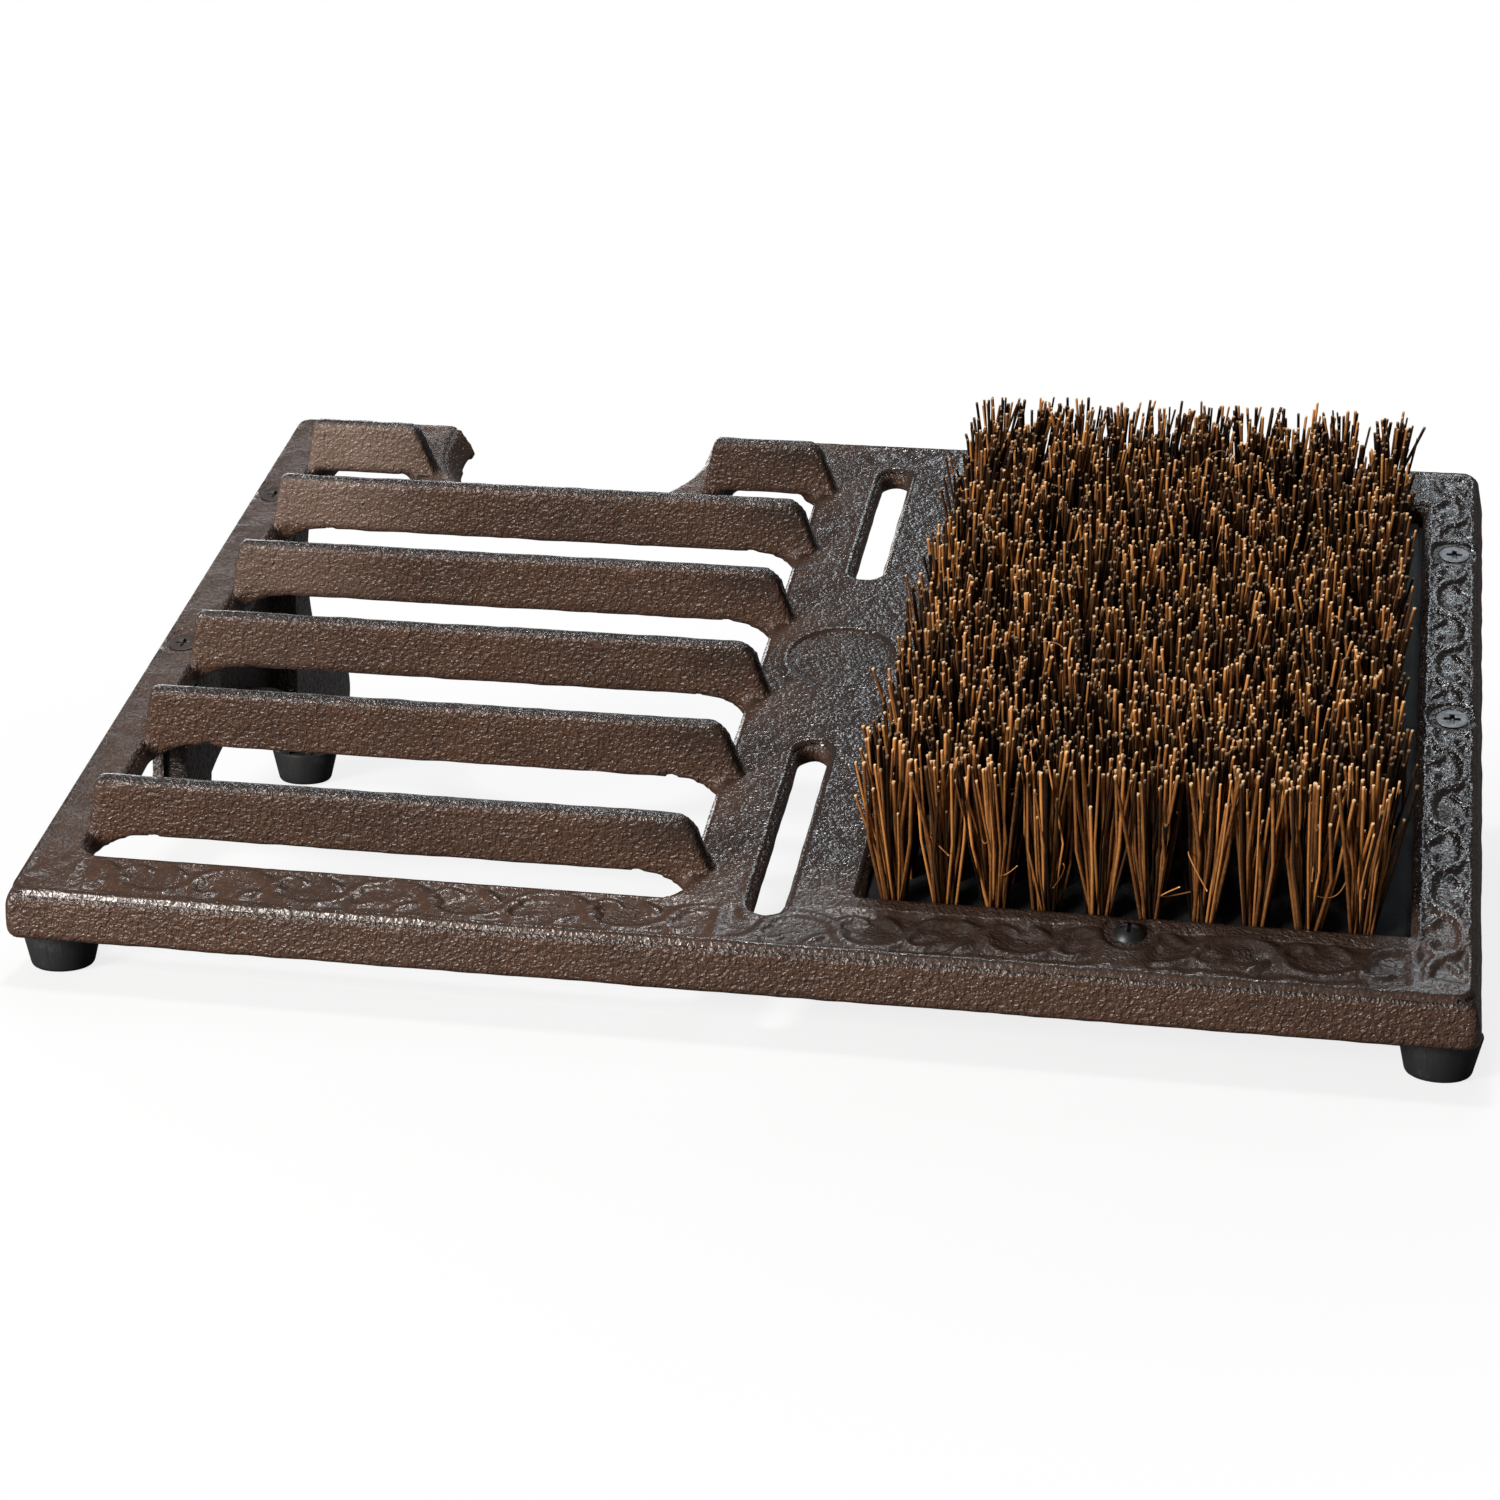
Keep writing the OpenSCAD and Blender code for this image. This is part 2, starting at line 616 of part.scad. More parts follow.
// Faces run clockwise seen from outside
function cell_faces(i, j) =
    let (a = corner_id(i, j), b = corner_id(i + 1, j), c = corner_id(i + 1, j + 1), d = corner_id(i, j + 1),
        s = strand_id(i, j), p = s, q = s + 1, r = s + 2)
    [[a, d, q], [d, p, q], [d, c, p], [c, r, p], [c, b, r], [b, a, q], [b, q, r],
        [p, p + 3, q], [q, p + 3, q + 3], [q, q + 3, r], [r, q + 3, r + 3], [r, r + 3, p], [p, r + 3, p + 3],
        [p + 3, r + 3, q + 3]];
top_faces = [for (j = [0:cells_y - 1], i = [0:cells_x - 1]) each cell_faces(i, j)];
side_faces = [for (k = [0:edges - 1]) let (n = (k + 1) % edges)
    each [[edge_ids[k], edge_ids[n], below + n], [edge_ids[k], below + n, below + k],
        [below + k, below + n, below + edges]]];

module bristles() {
    color(FIBRE) on_slope() polyhedron(
        concat(grid_points, strand_points, low_points, [low_middle]), concat(top_faces, side_faces), 4);
}

// Feet
module foot(x, y) {
    head_z = foot_h - skin_t / 2;
    color(RUBBER) upright() translate([x, y, 0]) difference() {
        union() {
            rotate_extrude() difference() {
                polygon([
                    [0, 0], [foot_low_r - foot_edge_r, 0], [foot_low_r, foot_edge_r],
                    [foot_top_r, foot_h], [0, foot_h]
                ]);
                translate([-foot_top_r, -over]) square([foot_top_r, foot_h + 2 * over]);
            }
        }
        translate([0, 0, -over]) cylinder(r = foot_screw_r + screw_gap, h = foot_h + 2 * over);
        translate([0, 0, -over]) cylinder(r = foot_head_r + pass_gap, h = foot_seat + over);
    }
}
foot_seat = foot_h / 2; // height of the screw head's seat inside a foot

// Screws
module cross(z) {
    for (a = [0, 90]) rotate(a) translate([-cross_w * 2, -cross_w / 2, z - cross_h])
        cube([cross_w * 4, cross_w, cross_h + over]);
}

module leg_screw(side, y) {
    color(ZINC) both_sides(side) on_slope() translate([plate_w / 2 - leg_screw_in, y, 0]) difference() {
        union() {
            translate([0, 0, -leg_screw_l]) cylinder(r = leg_screw_r, h = leg_screw_l - over);
            translate([0, 0, -leg_head_r + leg_screw_r])
                cylinder(r1 = leg_screw_r, r2 = leg_head_r, h = leg_head_r - leg_screw_r);
        }
        cross(0);
    }
}

module brush_screw(y) {
    dome_r = (brush_head_r * brush_head_r + brush_head_h * brush_head_h) / (2 * brush_head_h);
    color(BLACK_STEEL) on_slope() translate([brush_screw_x, y, 0]) difference() {
        union() {
            translate([0, 0, -brush_screw_l]) cylinder(r = brush_screw_r, h = brush_screw_l + brush_head_h / 2);
            intersection() {
                cylinder(r = brush_head_r, h = brush_head_h);
                translate([0, 0, brush_head_h - dome_r]) sphere(dome_r);
            }
        }
        cross(brush_head_h);
    }
}

module foot_screw(x, y) {
    color(ZINC) upright() translate([x, y, foot_seat]) difference() {
        union() {
            cylinder(r = foot_screw_r, h = foot_screw_l);
            translate([0, 0, -foot_head_h]) cylinder(r = foot_head_r, h = foot_head_h);
        }
        mirror([0, 0, 1]) cross(foot_head_h);
    }
}

front_foot_x = plate_w / 2 - front_foot_in;
plate();
scraper_bar(0);  // scraper_bar_1
scraper_bar(1);  // scraper_bar_2
scraper_bar(2);  // scraper_bar_3
scraper_bar(3);  // scraper_bar_4
scraper_bar(4);  // scraper_bar_5
jack_bar(-1);  // jack_bar_left
jack_bar(1);  // jack_bar_right
leg(-1);  // leg_left
leg(1);  // leg_right
brush_block();
bristles();
foot(-front_foot_x, front_foot_y);  // foot_front_left
foot(front_foot_x, front_foot_y);  // foot_front_right
foot(-leg_mid_x, rear_foot_y);  // foot_rear_left
foot(leg_mid_x, rear_foot_y);  // foot_rear_right
leg_screw(-1, leg_screw_front);  // leg_screw_left_front
leg_screw(-1, leg_screw_back);  // leg_screw_left_rear
leg_screw(1, leg_screw_front);  // leg_screw_right_front
leg_screw(1, leg_screw_back);  // leg_screw_right_rear
brush_screw(window_rail - brush_screw_out);  // brush_screw_front
brush_screw(window_y1 + brush_screw_out);  // brush_screw_rear
foot_screw(-front_foot_x, front_foot_y);  // foot_screw_front_left
foot_screw(front_foot_x, front_foot_y);  // foot_screw_front_right
foot_screw(-leg_mid_x, rear_foot_y);  // foot_screw_rear_left
foot_screw(leg_mid_x, rear_foot_y);  // foot_screw_rear_right
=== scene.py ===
"""Dresses the boot scraper: softened castings, relief, brush, feet, screws and a plain studio."""

import logging
import math
from dataclasses import dataclass, field
from enum import Enum
from typing import Callable, Iterable, Sequence

import bpy
import numpy as np
from mathutils import Matrix, Vector


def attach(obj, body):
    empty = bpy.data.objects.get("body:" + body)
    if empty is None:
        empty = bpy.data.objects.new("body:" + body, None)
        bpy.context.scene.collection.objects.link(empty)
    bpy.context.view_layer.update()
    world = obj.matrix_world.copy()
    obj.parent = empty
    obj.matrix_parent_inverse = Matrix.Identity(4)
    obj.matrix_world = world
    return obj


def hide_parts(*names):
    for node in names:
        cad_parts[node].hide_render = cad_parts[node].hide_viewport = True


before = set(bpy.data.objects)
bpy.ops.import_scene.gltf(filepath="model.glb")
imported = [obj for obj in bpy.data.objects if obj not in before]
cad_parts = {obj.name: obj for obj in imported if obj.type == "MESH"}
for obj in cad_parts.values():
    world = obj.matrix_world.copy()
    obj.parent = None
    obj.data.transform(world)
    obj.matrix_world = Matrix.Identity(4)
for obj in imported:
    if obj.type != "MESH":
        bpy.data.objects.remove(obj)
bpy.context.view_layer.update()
LOG = logging.getLogger("boot_scraper")
MM = 0.001
Pair = tuple[float, float]
Triple = tuple[float, float, float]
Box = tuple[float, float, float, float]


class Slot(Enum):
    """Names of the material slots."""

    IRON = "painted_iron"
    BOARD = "brush_board"
    FIBRE = "bristle_fibre"
    RUBBER = "foot_rubber"
    ZINC = "zinc_steel"
    BROWN = "brown_steel"
    BLACK = "black_steel"


class Side(Enum):
    """Which side of the scraper a piece is on, as a sign along X."""

    LEFT = -1
    RIGHT = 1


@dataclass(frozen=True)
class Slope:
    """The tilted plate's own frame: millimetres across, back from its front edge and up from its top."""

    tilt: float = 20.0
    front_h: float = 24.5
    depth: float = 256.0
    draft: float = 2.0
    rim_h: float = 13.5
    edge_r: float = 2.5

    @property
    def middle(self) -> float:
        """Distance from the front edge to the middle of the whole object, along the floor."""
        c, s = math.cos(math.radians(self.tilt)), math.sin(math.radians(self.tilt))
        front = self.edge_r * (c + s) - self.edge_r
        return (front + (self.depth + self.draft) * c + self.rim_h * s) / 2

    @property
    def matrix(self) -> Matrix:
        """Takes plate millimetres to the row frame in metres."""
        lift = Matrix.Translation((0.0, -self.middle * MM, self.front_h * MM))
        return lift @ Matrix.Rotation(math.radians(self.tilt), 4, "X") @ Matrix.Scale(MM, 4)


SLOPE = Slope()


def ramp(values: np.ndarray, low: float, high: float) -> np.ndarray:
    """Runs from 0 at low to 1 at high, which may be the smaller number, and is held beyond them."""
    return np.clip((values - low) / (high - low), 0, 1)


def ease(share: np.ndarray) -> np.ndarray:
    """Slows a share that runs from 0 to 1 at both its ends."""
    return share * share * (3 - 2 * share)


def shade(colour: Sequence[float], share: float) -> tuple[float, ...]:
    """Keeps a share of a colour's light."""
    return tuple(c * share for c in colour)


# Shader graph


class Sock:
    """A shader value that Python's operators work on; each one adds a Math node."""

    def __init__(self, graph: "Nodes", out: bpy.types.NodeSocket) -> None:
        """Wraps an output socket of a tree's node."""
        self.graph = graph
        self.out = out

    def math(self, operation: str, *others: "Sock | float", clamp: bool = False) -> "Sock":
        """Adds a Math node.

        Args:
            operation: Blender's name of the operation.
            others: the further inputs, values or sockets.
            clamp: whether the result is held between 0 and 1.

        Returns:
            The node's result.
        """
        inputs = dict(enumerate((self, *others)))
        return self.graph.node("ShaderNodeMath", {"operation": operation, "use_clamp": clamp}, inputs)

    def __add__(self, other: "Sock | float") -> "Sock":
        """self + other."""
        return self.math("ADD", other)

    def __radd__(self, other: float) -> "Sock":
        """other + self."""
        return self.math("ADD", other)

    def __sub__(self, other: "Sock | float") -> "Sock":
        """self - other."""
        return self.math("SUBTRACT", other)

    def __rsub__(self, other: float) -> "Sock":
        """other - self."""
        return self.graph.node("ShaderNodeMath", {"operation": "SUBTRACT"}, {0: other, 1: self})

    def __mul__(self, other: "Sock | float") -> "Sock":
        """self * other."""
        return self.math("MULTIPLY", other)

    def __rmul__(self, other: float) -> "Sock":
        """other * self."""
        return self.math("MULTIPLY", other)

    def clamp(self) -> "Sock":
        """Holds the value between 0 and 1."""
        return self.math("ADD", 0.0, clamp=True)

    def step(self, low: float, high: float) -> "Sock":
        """Eases from 0 at low to 1 at high."""
        return self.graph.node("ShaderNodeMapRange", {"interpolation_type": "SMOOTHSTEP"},
                               {"Value": self, "From Min": low, "From Max": high})


class Nodes:
    """A node tree, with one method that adds any node."""

    def __init__(self, tree: bpy.types.NodeTree) -> None:
        """Takes up a material's tree or the world's."""
        self.tree = tree

    def feed(self, socket: bpy.types.NodeSocket, value: Sock | float | Sequence[float]) -> None:
        """Links a socket to a shader value, or sets it to a plain one."""
        if isinstance(value, Sock):
            self.tree.links.new(value.out, socket)
        else:
            socket.default_value = value

    def node(self, kind: str, settings: dict | None = None, inputs: dict | None = None,
             out: str | int = 0) -> Sock:
        """Adds a node.

        Args:
            kind: the node's type.
            settings: attributes that are set first.
            inputs: values or sockets by input name or number.
            out: name or number of the output that is wanted.

        Returns:
            That output.
        """
        node = self.tree.nodes.new(kind)
        for key, value in (settings or {}).items():
            setattr(node, key, value)
        for key, value in (inputs or {}).items():
            self.feed(node.inputs[key], value)
        return Sock(self, node.outputs[out])


class Graph(Nodes):
    """A material's node tree, with the patterns that the finishes share."""

    def __init__(self, name: str) -> None:
        """Makes an empty material with a Principled shader."""
        self.material = bpy.data.materials.new(name)
        self.material.use_nodes = True
        super().__init__(self.material.node_tree)
        self.tree.nodes.clear()
        self.shader = self.tree.nodes.new("ShaderNodeBsdfPrincipled")
        self.output = self.tree.nodes.new("ShaderNodeOutputMaterial")
        self.tree.links.new(self.shader.outputs[0], self.output.inputs["Surface"])

    def place(self) -> Sock:
        """The piece's own coordinates."""
        return self.node("ShaderNodeTexCoord", out="Object")

    def noise(self, size_mm: float, detail: float = 2.0, rough: float = 0.5, distort: float = 0.0,
              at: Sock | None = None) -> Sock:
        """A noise value.

        Args:
            size_mm: size of its largest features.
            detail: octaves.
            rough: weight of the finer octaves.
            distort: how far it is warped.
            at: coordinates, the piece's own if left out.

        Returns:
            The value, about 0.5 on average.
        """
        return self.node("ShaderNodeTexNoise", None, {
            "Vector": at or self.place(), "Scale": 1.0 / (size_mm * MM), "Detail": detail,
            "Roughness": rough, "Distortion": distort})

    def attribute(self, name: str) -> Sock:
        """A value stored on the piece's points."""
        return self.node("ShaderNodeAttribute", {"attribute_name": name}, out="Fac")

    def mix(self, factor: Sock | float, a: Sock | Sequence[float], b: Sock | Sequence[float]) -> Sock:
        """Mixes two colours; the node holds the factor between 0 and 1."""
        def colour(c: Sock | Sequence[float]) -> Sock | tuple[float, ...]:
            """A socket as it is, or a colour with its alpha."""
            return c if isinstance(c, Sock) else (*c, 1.0)
        return self.node("ShaderNodeMix", {"data_type": "RGBA", "clamp_factor": True},
                         {0: factor, 6: colour(a), 7: colour(b)}, out=2)

    def bump(self, height: Sock, depth_mm: float, strength: float = 1.0, under: Sock | None = None) -> Sock:
        """Turns a height from 0 to 1 into a normal."""
        inputs = {"Height": height, "Distance": depth_mm * MM, "Strength": strength}
        if under is not None:
            inputs["Normal"] = under
        return self.node("ShaderNodeBump", None, inputs)

    def set(self, **values: Sock | float | Sequence[float]) -> None:
        """Sets the shader's inputs; a name's underscores stand for spaces."""
        for key, value in values.items():
            self.feed(self.shader.inputs[key.replace("_", " ")], value)


# Finishes


@dataclass(frozen=True)
class HammeredIron:
    """Brown paint over sand-cast iron, with the sand's fine grain in it; its colour also holds painted shade
    and painted highlights.
    """

    name: str = "hammered_iron"
    brown: Triple = (0.064, 0.031, 0.018)
    dark: Triple = (0.016, 0.010, 0.008)
    # The pale colour is painted light: highlights on the grain's peaks and the lit patch on the rear bars'
    # left ends.
    painted_light: Triple = (0.20, 0.135, 0.105)
    rubbed: Triple = (0.012, 0.011, 0.011)
    blotch_mm: float = 30.0
    lump_mm: float = 4.5
    lump_h: float = 0.6
    grain_mm: float = 1.15
    grain_h: float = 1.1
    fine_mm: float = 0.55
    rough: float = 0.38
    gloss: float = 0.5

    def make(self) -> bpy.types.Material:
        """Builds the material."""
        g = Graph(self.name)
        at = g.place()
        blotch = g.noise(self.blotch_mm, 3.0, at=at)
        grain = g.noise(self.grain_mm, 1.0, distort=0.5, at=at)
        fine = g.noise(self.fine_mm, 1.0, at=at)
        lumps = g.noise(self.lump_mm, 2.0, 0.55, at=at)
        # wear also carries the painted shade on the bars' right-hand ends.
        wear = g.attribute("wear").math("MAXIMUM", g.attribute("rubbed_and_shaded"))
        hollow, thin, sleek, deep = map(g.attribute, ("hollow", "thin", "sleek", "deep"))
        # Grain pits: the paint's dark pits, deepened with painted shade in the grain's low spots.
        shaded_pits = (1.0 - grain.step(0.33, 0.47)) * (0.6 + blotch * 0.6)
        # Grain peaks get a painted highlight in the colour.
        highlit_peaks = grain.step(0.56, 0.70)
        colour = self.brown
        for share, coat in ((blotch.step(0.40, 0.75) * 0.30, self.dark),
                            (shaded_pits * 0.50, self.dark),
                            (highlit_peaks * 0.20, self.painted_light),
                            (thin * 0.8, self.rubbed),
                            # deep: deeper brown on the rails, and painted shadow of the brush on the front
                            # rail beside it.
                            (deep * 0.75, self.dark),
                            # The dust mark is painted light on the rear bars' left ends.
                            (g.attribute("dust") * 0.7, self.painted_light),
                            # Hollows: painted shade.
                            (hollow * 0.55, self.dark),
                            (wear * (0.95 - highlit_peaks * 0.25), self.rubbed)):
            colour = g.mix(share, colour, coat)
        rough = (self.rough + hollow * 0.2 + shaded_pits * 0.2 - wear * 0.12 - highlit_peaks * 0.06
                 - thin * 0.10 - sleek * 0.12 + deep * 0.10)
        depth = (1.0 - wear * 0.4) * (1.0 - sleek * 0.65)
        sand = (grain * 0.8 + fine * (0.2 - sleek * 0.15)) * depth
        normal = g.bump(sand, self.grain_h, under=g.bump(lumps, self.lump_h, 0.45))
        g.set(Base_Color=colour, Roughness=rough.clamp(), Normal=normal, Specular_IOR_Level=self.gloss)
        return g.material


@dataclass(frozen=True)
class CutFibre:
    """Stiff plant fibre: each strand its own tint, with painted shade towards the root, and pale where it was
    cut.
    """

    name: str
    light: Triple
    deep: Triple
    tip: Triple
    gloss: float
    root_shade_share: float = 0.15
    streak_mm: float = 1.3
    streak_h: float = 0.08
    rough: float = 0.42

    def make(self) -> bpy.types.Material:
        """Builds the material."""
        g = Graph(self.name)
        along, tint = g.attribute("along"), g.attribute("tint")
        streak = g.noise(self.streak_mm, 2.0, 0.6)
        colour = g.mix(tint * tint * 0.95 + streak.step(0.45, 0.75) * 0.25, self.deep, self.light)
        # Painted shade towards the root, where the strands shade each other.
        colour = g.mix((1.0 - along.step(0.0, 0.80)) * 0.85, colour, shade(self.deep, self.root_shade_share))
        colour = g.mix(along.step(0.985, 0.999) * 0.7, colour, self.tip)
        g.set(Base_Color=colour, Roughness=(self.rough + streak * 0.25).clamp(),
              Normal=g.bump(streak, self.streak_h, 0.4), Specular_IOR_Level=self.gloss)
        return g.material


@dataclass(frozen=True)
class BlackBoard:
    """A matt black board with faint saw marks and dust."""

    black: Triple = (0.008, 0.008, 0.009)
    dust: Triple = (0.030, 0.031, 0.034)
    grain_mm: float = 2.0
    grain_h: float = 0.2
    grain_run: Triple = (1.0, 0.12, 1.0)
    dust_mm: float = 9.0
    rough: float = 0.55
    gloss: float = 0.2

    def make(self) -> bpy.types.Material:
        """Builds the material."""
        g = Graph("black_board")
        at = g.place()
        sawn = g.node("ShaderNodeMapping", None, {"Vector": at, "Scale": self.grain_run})
        grain = g.noise(self.grain_mm, 4.0, 0.6, at=sawn)
        dust = g.noise(self.dust_mm, 4.0, 0.65, at=at)
        share = dust.step(0.45, 0.75) * 0.6 + grain.step(0.55, 0.7) * 0.3
        g.set(Base_Color=g.mix(share, self.black, self.dust), Roughness=(self.rough + dust * 0.25).clamp(),
              Normal=g.bump(grain, self.grain_h, 0.5), Specular_IOR_Level=self.gloss)
        return g.material


@dataclass(frozen=True)
class MouldedRubber:
    """Matt black moulded rubber with a fine pebble and some dust."""

    black: Triple = (0.011, 0.011, 0.012)
    dust: Triple = (0.06, 0.058, 0.055)
    pebble_mm: float = 0.6
    pebble_h: float = 0.10
    dust_mm: float = 6.0
    rough: float = 0.52
    gloss: float = 0.3

    def make(self) -> bpy.types.Material:
        """Builds the material."""
        g = Graph("moulded_rubber")
        at = g.place()
        pebble = g.noise(self.pebble_mm, 2.0, at=at)
        dust = g.noise(self.dust_mm, 4.0, 0.65, at=at).step(0.5, 0.8)
        g.set(Base_Color=g.mix(dust * 0.5, self.black, self.dust),
              Roughness=(self.rough + pebble * 0.25).clamp(),
              Normal=g.bump(pebble, self.pebble_h, 0.5), Specular_IOR_Level=self.gloss)
        return g.material


@dataclass(frozen=True)
class ScrewMetal:
    """Plated or painted screw steel, brighter on its rubbed edges, with painted shade in its hollows."""

    name: str
    plate: Triple
    rubbed: Triple
    metallic: float
    rough: float
    tarnish_mm: float = 1.8
    fine_mm: float = 0.35
    fine_h: float = 0.05
    tarnish_share: float = 0.45
    hollow_shade_share: float = 0.05

    def make(self) -> bpy.types.Material:
        """Builds the material."""
        g = Graph(self.name)
        at = g.place()
        tarnish = g.noise(self.tarnish_mm, 4.0, 0.6, at=at)
        fine = g.noise(self.fine_mm, 2.0, 0.6, at=at)
        wear, hollow = g.attribute("wear"), g.attribute("hollow")
        colour = g.mix(tarnish.step(0.35, 0.7) * 0.6, self.plate, shade(self.plate, self.tarnish_share))
        colour = g.mix(wear * 0.8, colour, self.rubbed)
        # Painted shade in the cross recess and other hollows.
        colour = g.mix(hollow * 0.9, colour, shade(self.plate, self.hollow_shade_share))
        g.set(Base_Color=colour, Roughness=(self.rough + tarnish * 0.25 - wear * 0.1).clamp(),
              Metallic=self.metallic, Normal=g.bump(fine, self.fine_h, 0.5))
        return g.material


# Workshop


class Bench:
    """The mesh tools that the pieces share."""

    WELD = 0.01 * MM
    FLAT = math.radians(1.0)
    SHARP = math.radians(40.0)

    @staticmethod
    def clear() -> None:
        """Leaves edit mode and deselects everything."""
        if bpy.context.object and bpy.context.object.mode != "OBJECT":
            bpy.ops.object.mode_set(mode="OBJECT")
        bpy.ops.object.select_all(action="DESELECT")

    @classmethod
    def pick(cls, *objs: bpy.types.Object) -> None:
        """Selects these objects, with the first one active."""
        cls.clear()
        for o in objs:
            o.select_set(True)
        bpy.context.view_layer.objects.active = objs[0]

    @classmethod
    def copy_nodes(cls, name: str, nodes: Iterable[str]) -> bpy.types.Object:
        """Copies CAD nodes into one new mesh.

        Args:
            name: the new object's name.
            nodes: the nodes to copy.

        Returns:
            One object with its doubles merged, free of any parent.
        """
        copies = []
        for node in nodes:
            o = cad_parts[node].copy()
            o.data = o.data.copy()
            o.data.materials.clear()
            bpy.context.scene.collection.objects.link(o)
            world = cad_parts[node].matrix_world.copy()
            o.parent = None
            o.matrix_world = world
            for key in [k for k in o.keys() if k.startswith("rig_")]:
                del o[key]
            copies.append(o)
        cls.pick(*copies)
        if len(copies) > 1:
            bpy.ops.object.join()
        made = bpy.context.object
        made.name = made.data.name = name
        bpy.ops.object.transform_apply(location=True, rotation=True, scale=True)
        bpy.ops.object.mode_set(mode="EDIT")
        bpy.ops.mesh.select_all(action="SELECT")
        bpy.ops.mesh.remove_doubles(threshold=cls.WELD)
        bpy.ops.object.mode_set(mode="OBJECT")
        return made

    @classmethod
    def modify(cls, obj: bpy.types.Object, kind: str, **settings: object) -> None:
        """Adds a modifier and applies it at once."""
        cls.pick(obj)
        mod = obj.modifiers.new(kind.lower(), kind)
        for key, value in settings.items():
            setattr(mod, key, value)
        bpy.ops.object.modifier_apply(modifier=mod.name)

    @classmethod
    def cast(cls, obj: bpy.types.Object, voxel_mm: float, rounds: int) -> None:
        """Softens a sloping piece as sand casting does, by a voxel remesh and a smoothing.

        Args:
            obj: the piece, which is laid flat on the voxels meanwhile.
            voxel_mm: size of the voxels.
            rounds: rounds of smoothing.
        """
        obj.data.transform(SLOPE.matrix.inverted())
        cls.modify(obj, "REMESH", mode="VOXEL", voxel_size=voxel_mm, use_smooth_shade=True)
        cls.modify(obj, "SMOOTH", factor=0.5, iterations=rounds)
        obj.data.transform(SLOPE.matrix)
        obj.data.update()

    @classmethod
    def uneven(cls, obj: bpy.types.Object, size_mm: float, depth_mm: float) -> None:
        """Moves a casting's skin in and out a little, as a sand mould does."""
        cloud = bpy.data.textures.new(f"{obj.name}_unevenness", "CLOUDS")
        cloud.noise_scale, cloud.noise_depth = size_mm * MM, 1
        cls.modify(obj, "DISPLACE", texture=cloud, texture_coords="LOCAL",
                   strength=depth_mm * MM, mid_level=0.5)
        bpy.data.textures.remove(cloud)

    @classmethod
    def bevelled(cls, obj: bpy.types.Object, width_mm: float, angle: float = 35.0) -> None:
        """Rounds a machined piece's sharp edges a little and shades it smooth."""
        cls.pick(obj)
        bpy.ops.object.mode_set(mode="EDIT")
        bpy.ops.mesh.select_all(action="SELECT")
        bpy.ops.mesh.dissolve_limited(angle_limit=cls.FLAT)
        bpy.ops.object.mode_set(mode="OBJECT")
        cls.modify(obj, "BEVEL", width=width_mm * MM, segments=2, limit_method="ANGLE",
                   angle_limit=math.radians(angle))
        cls.pick(obj)
        bpy.ops.object.shade_smooth_by_angle(angle=cls.SHARP)

    @staticmethod
    def points(obj: bpy.types.Object) -> tuple[np.ndarray, np.ndarray]:
        """The mesh's points and their normals, in rows."""
        n = len(obj.data.vertices)
        co, no = np.empty(n * 3), np.empty(n * 3)
        obj.data.vertices.foreach_get("co", co)
        obj.data.vertices.foreach_get("normal", no)
        return co.reshape(-1, 3), no.reshape(-1, 3)

    @classmethod
    def on_plate(cls, obj: bpy.types.Object) -> tuple[np.ndarray, np.ndarray, np.ndarray]:
        """Reads a mesh in the plate's own frame.

        Args:
            obj: the piece.

        Returns:
            X, Y and Z of the points in plate millimetres, their normals in the row frame,
            and how far each normal points up from the plate.
        """
        co, no = cls.points(obj)
        flat = np.array(SLOPE.matrix.inverted())
        up = no @ np.array(SLOPE.matrix.to_3x3().normalized().col[2])
        return (co @ flat[:3, :3].T + flat[:3, 3]).T, no, up

    @staticmethod
    def store(obj: bpy.types.Object, name: str, values: np.ndarray) -> None:
        """Stores one value for each point."""
        layer = obj.data.attributes.new(name, "FLOAT", "POINT")
        layer.data.foreach_set("value", np.ascontiguousarray(values, dtype=np.float32))

    @classmethod
    def wear(cls, obj: bpy.types.Object, low: float, high: float, rounds: int) -> None:
        """Marks where a mesh stands proud (wear) and where it is hollow.

        Args:
            obj: the piece.
            low: lean of the edges at a point where wear starts.
            high: lean at which it is full.
            rounds: rounds of averaging over neighbours.
        """
        co, no = cls.points(obj)
        n = len(co)
        ends = np.empty(len(obj.data.edges) * 2, np.int64)
        obj.data.edges.foreach_get("vertices", ends)
        a, b = ends.reshape(-1, 2).T
        step = co[a] - co[b]
        step /= np.maximum(np.linalg.norm(step, axis=1, keepdims=True), 1e-12)
        lean, count = np.zeros(n), np.zeros(n)
        np.add.at(lean, a, (no[a] * step).sum(1))
        np.add.at(lean, b, -(no[b] * step).sum(1))
        np.add.at(count, a, 1)
        np.add.at(count, b, 1)
        count = np.maximum(count, 1)
        lean /= count
        for _ in range(rounds):
            total = np.zeros(n)
            np.add.at(total, a, lean[b])
            np.add.at(total, b, lean[a])
            lean = 0.5 * lean + 0.5 * total / count
        cls.store(obj, "wear", ramp(lean, low, high))
        cls.store(obj, "hollow", ramp(-lean, low, high))

    @staticmethod
    def finish(obj: bpy.types.Object, material: bpy.types.Material, slot: Slot, *nodes: str) -> None:
        """Dresses a piece, sets it on the object and hides the CAD nodes that it stands for."""
        obj.data.materials.clear()
        obj.data.materials.append(material)
        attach(obj, "root")
        if nodes:
            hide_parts(*nodes)
        LOG.info("%s: %d faces", obj.name, len(obj.data.polygons))


# Castings


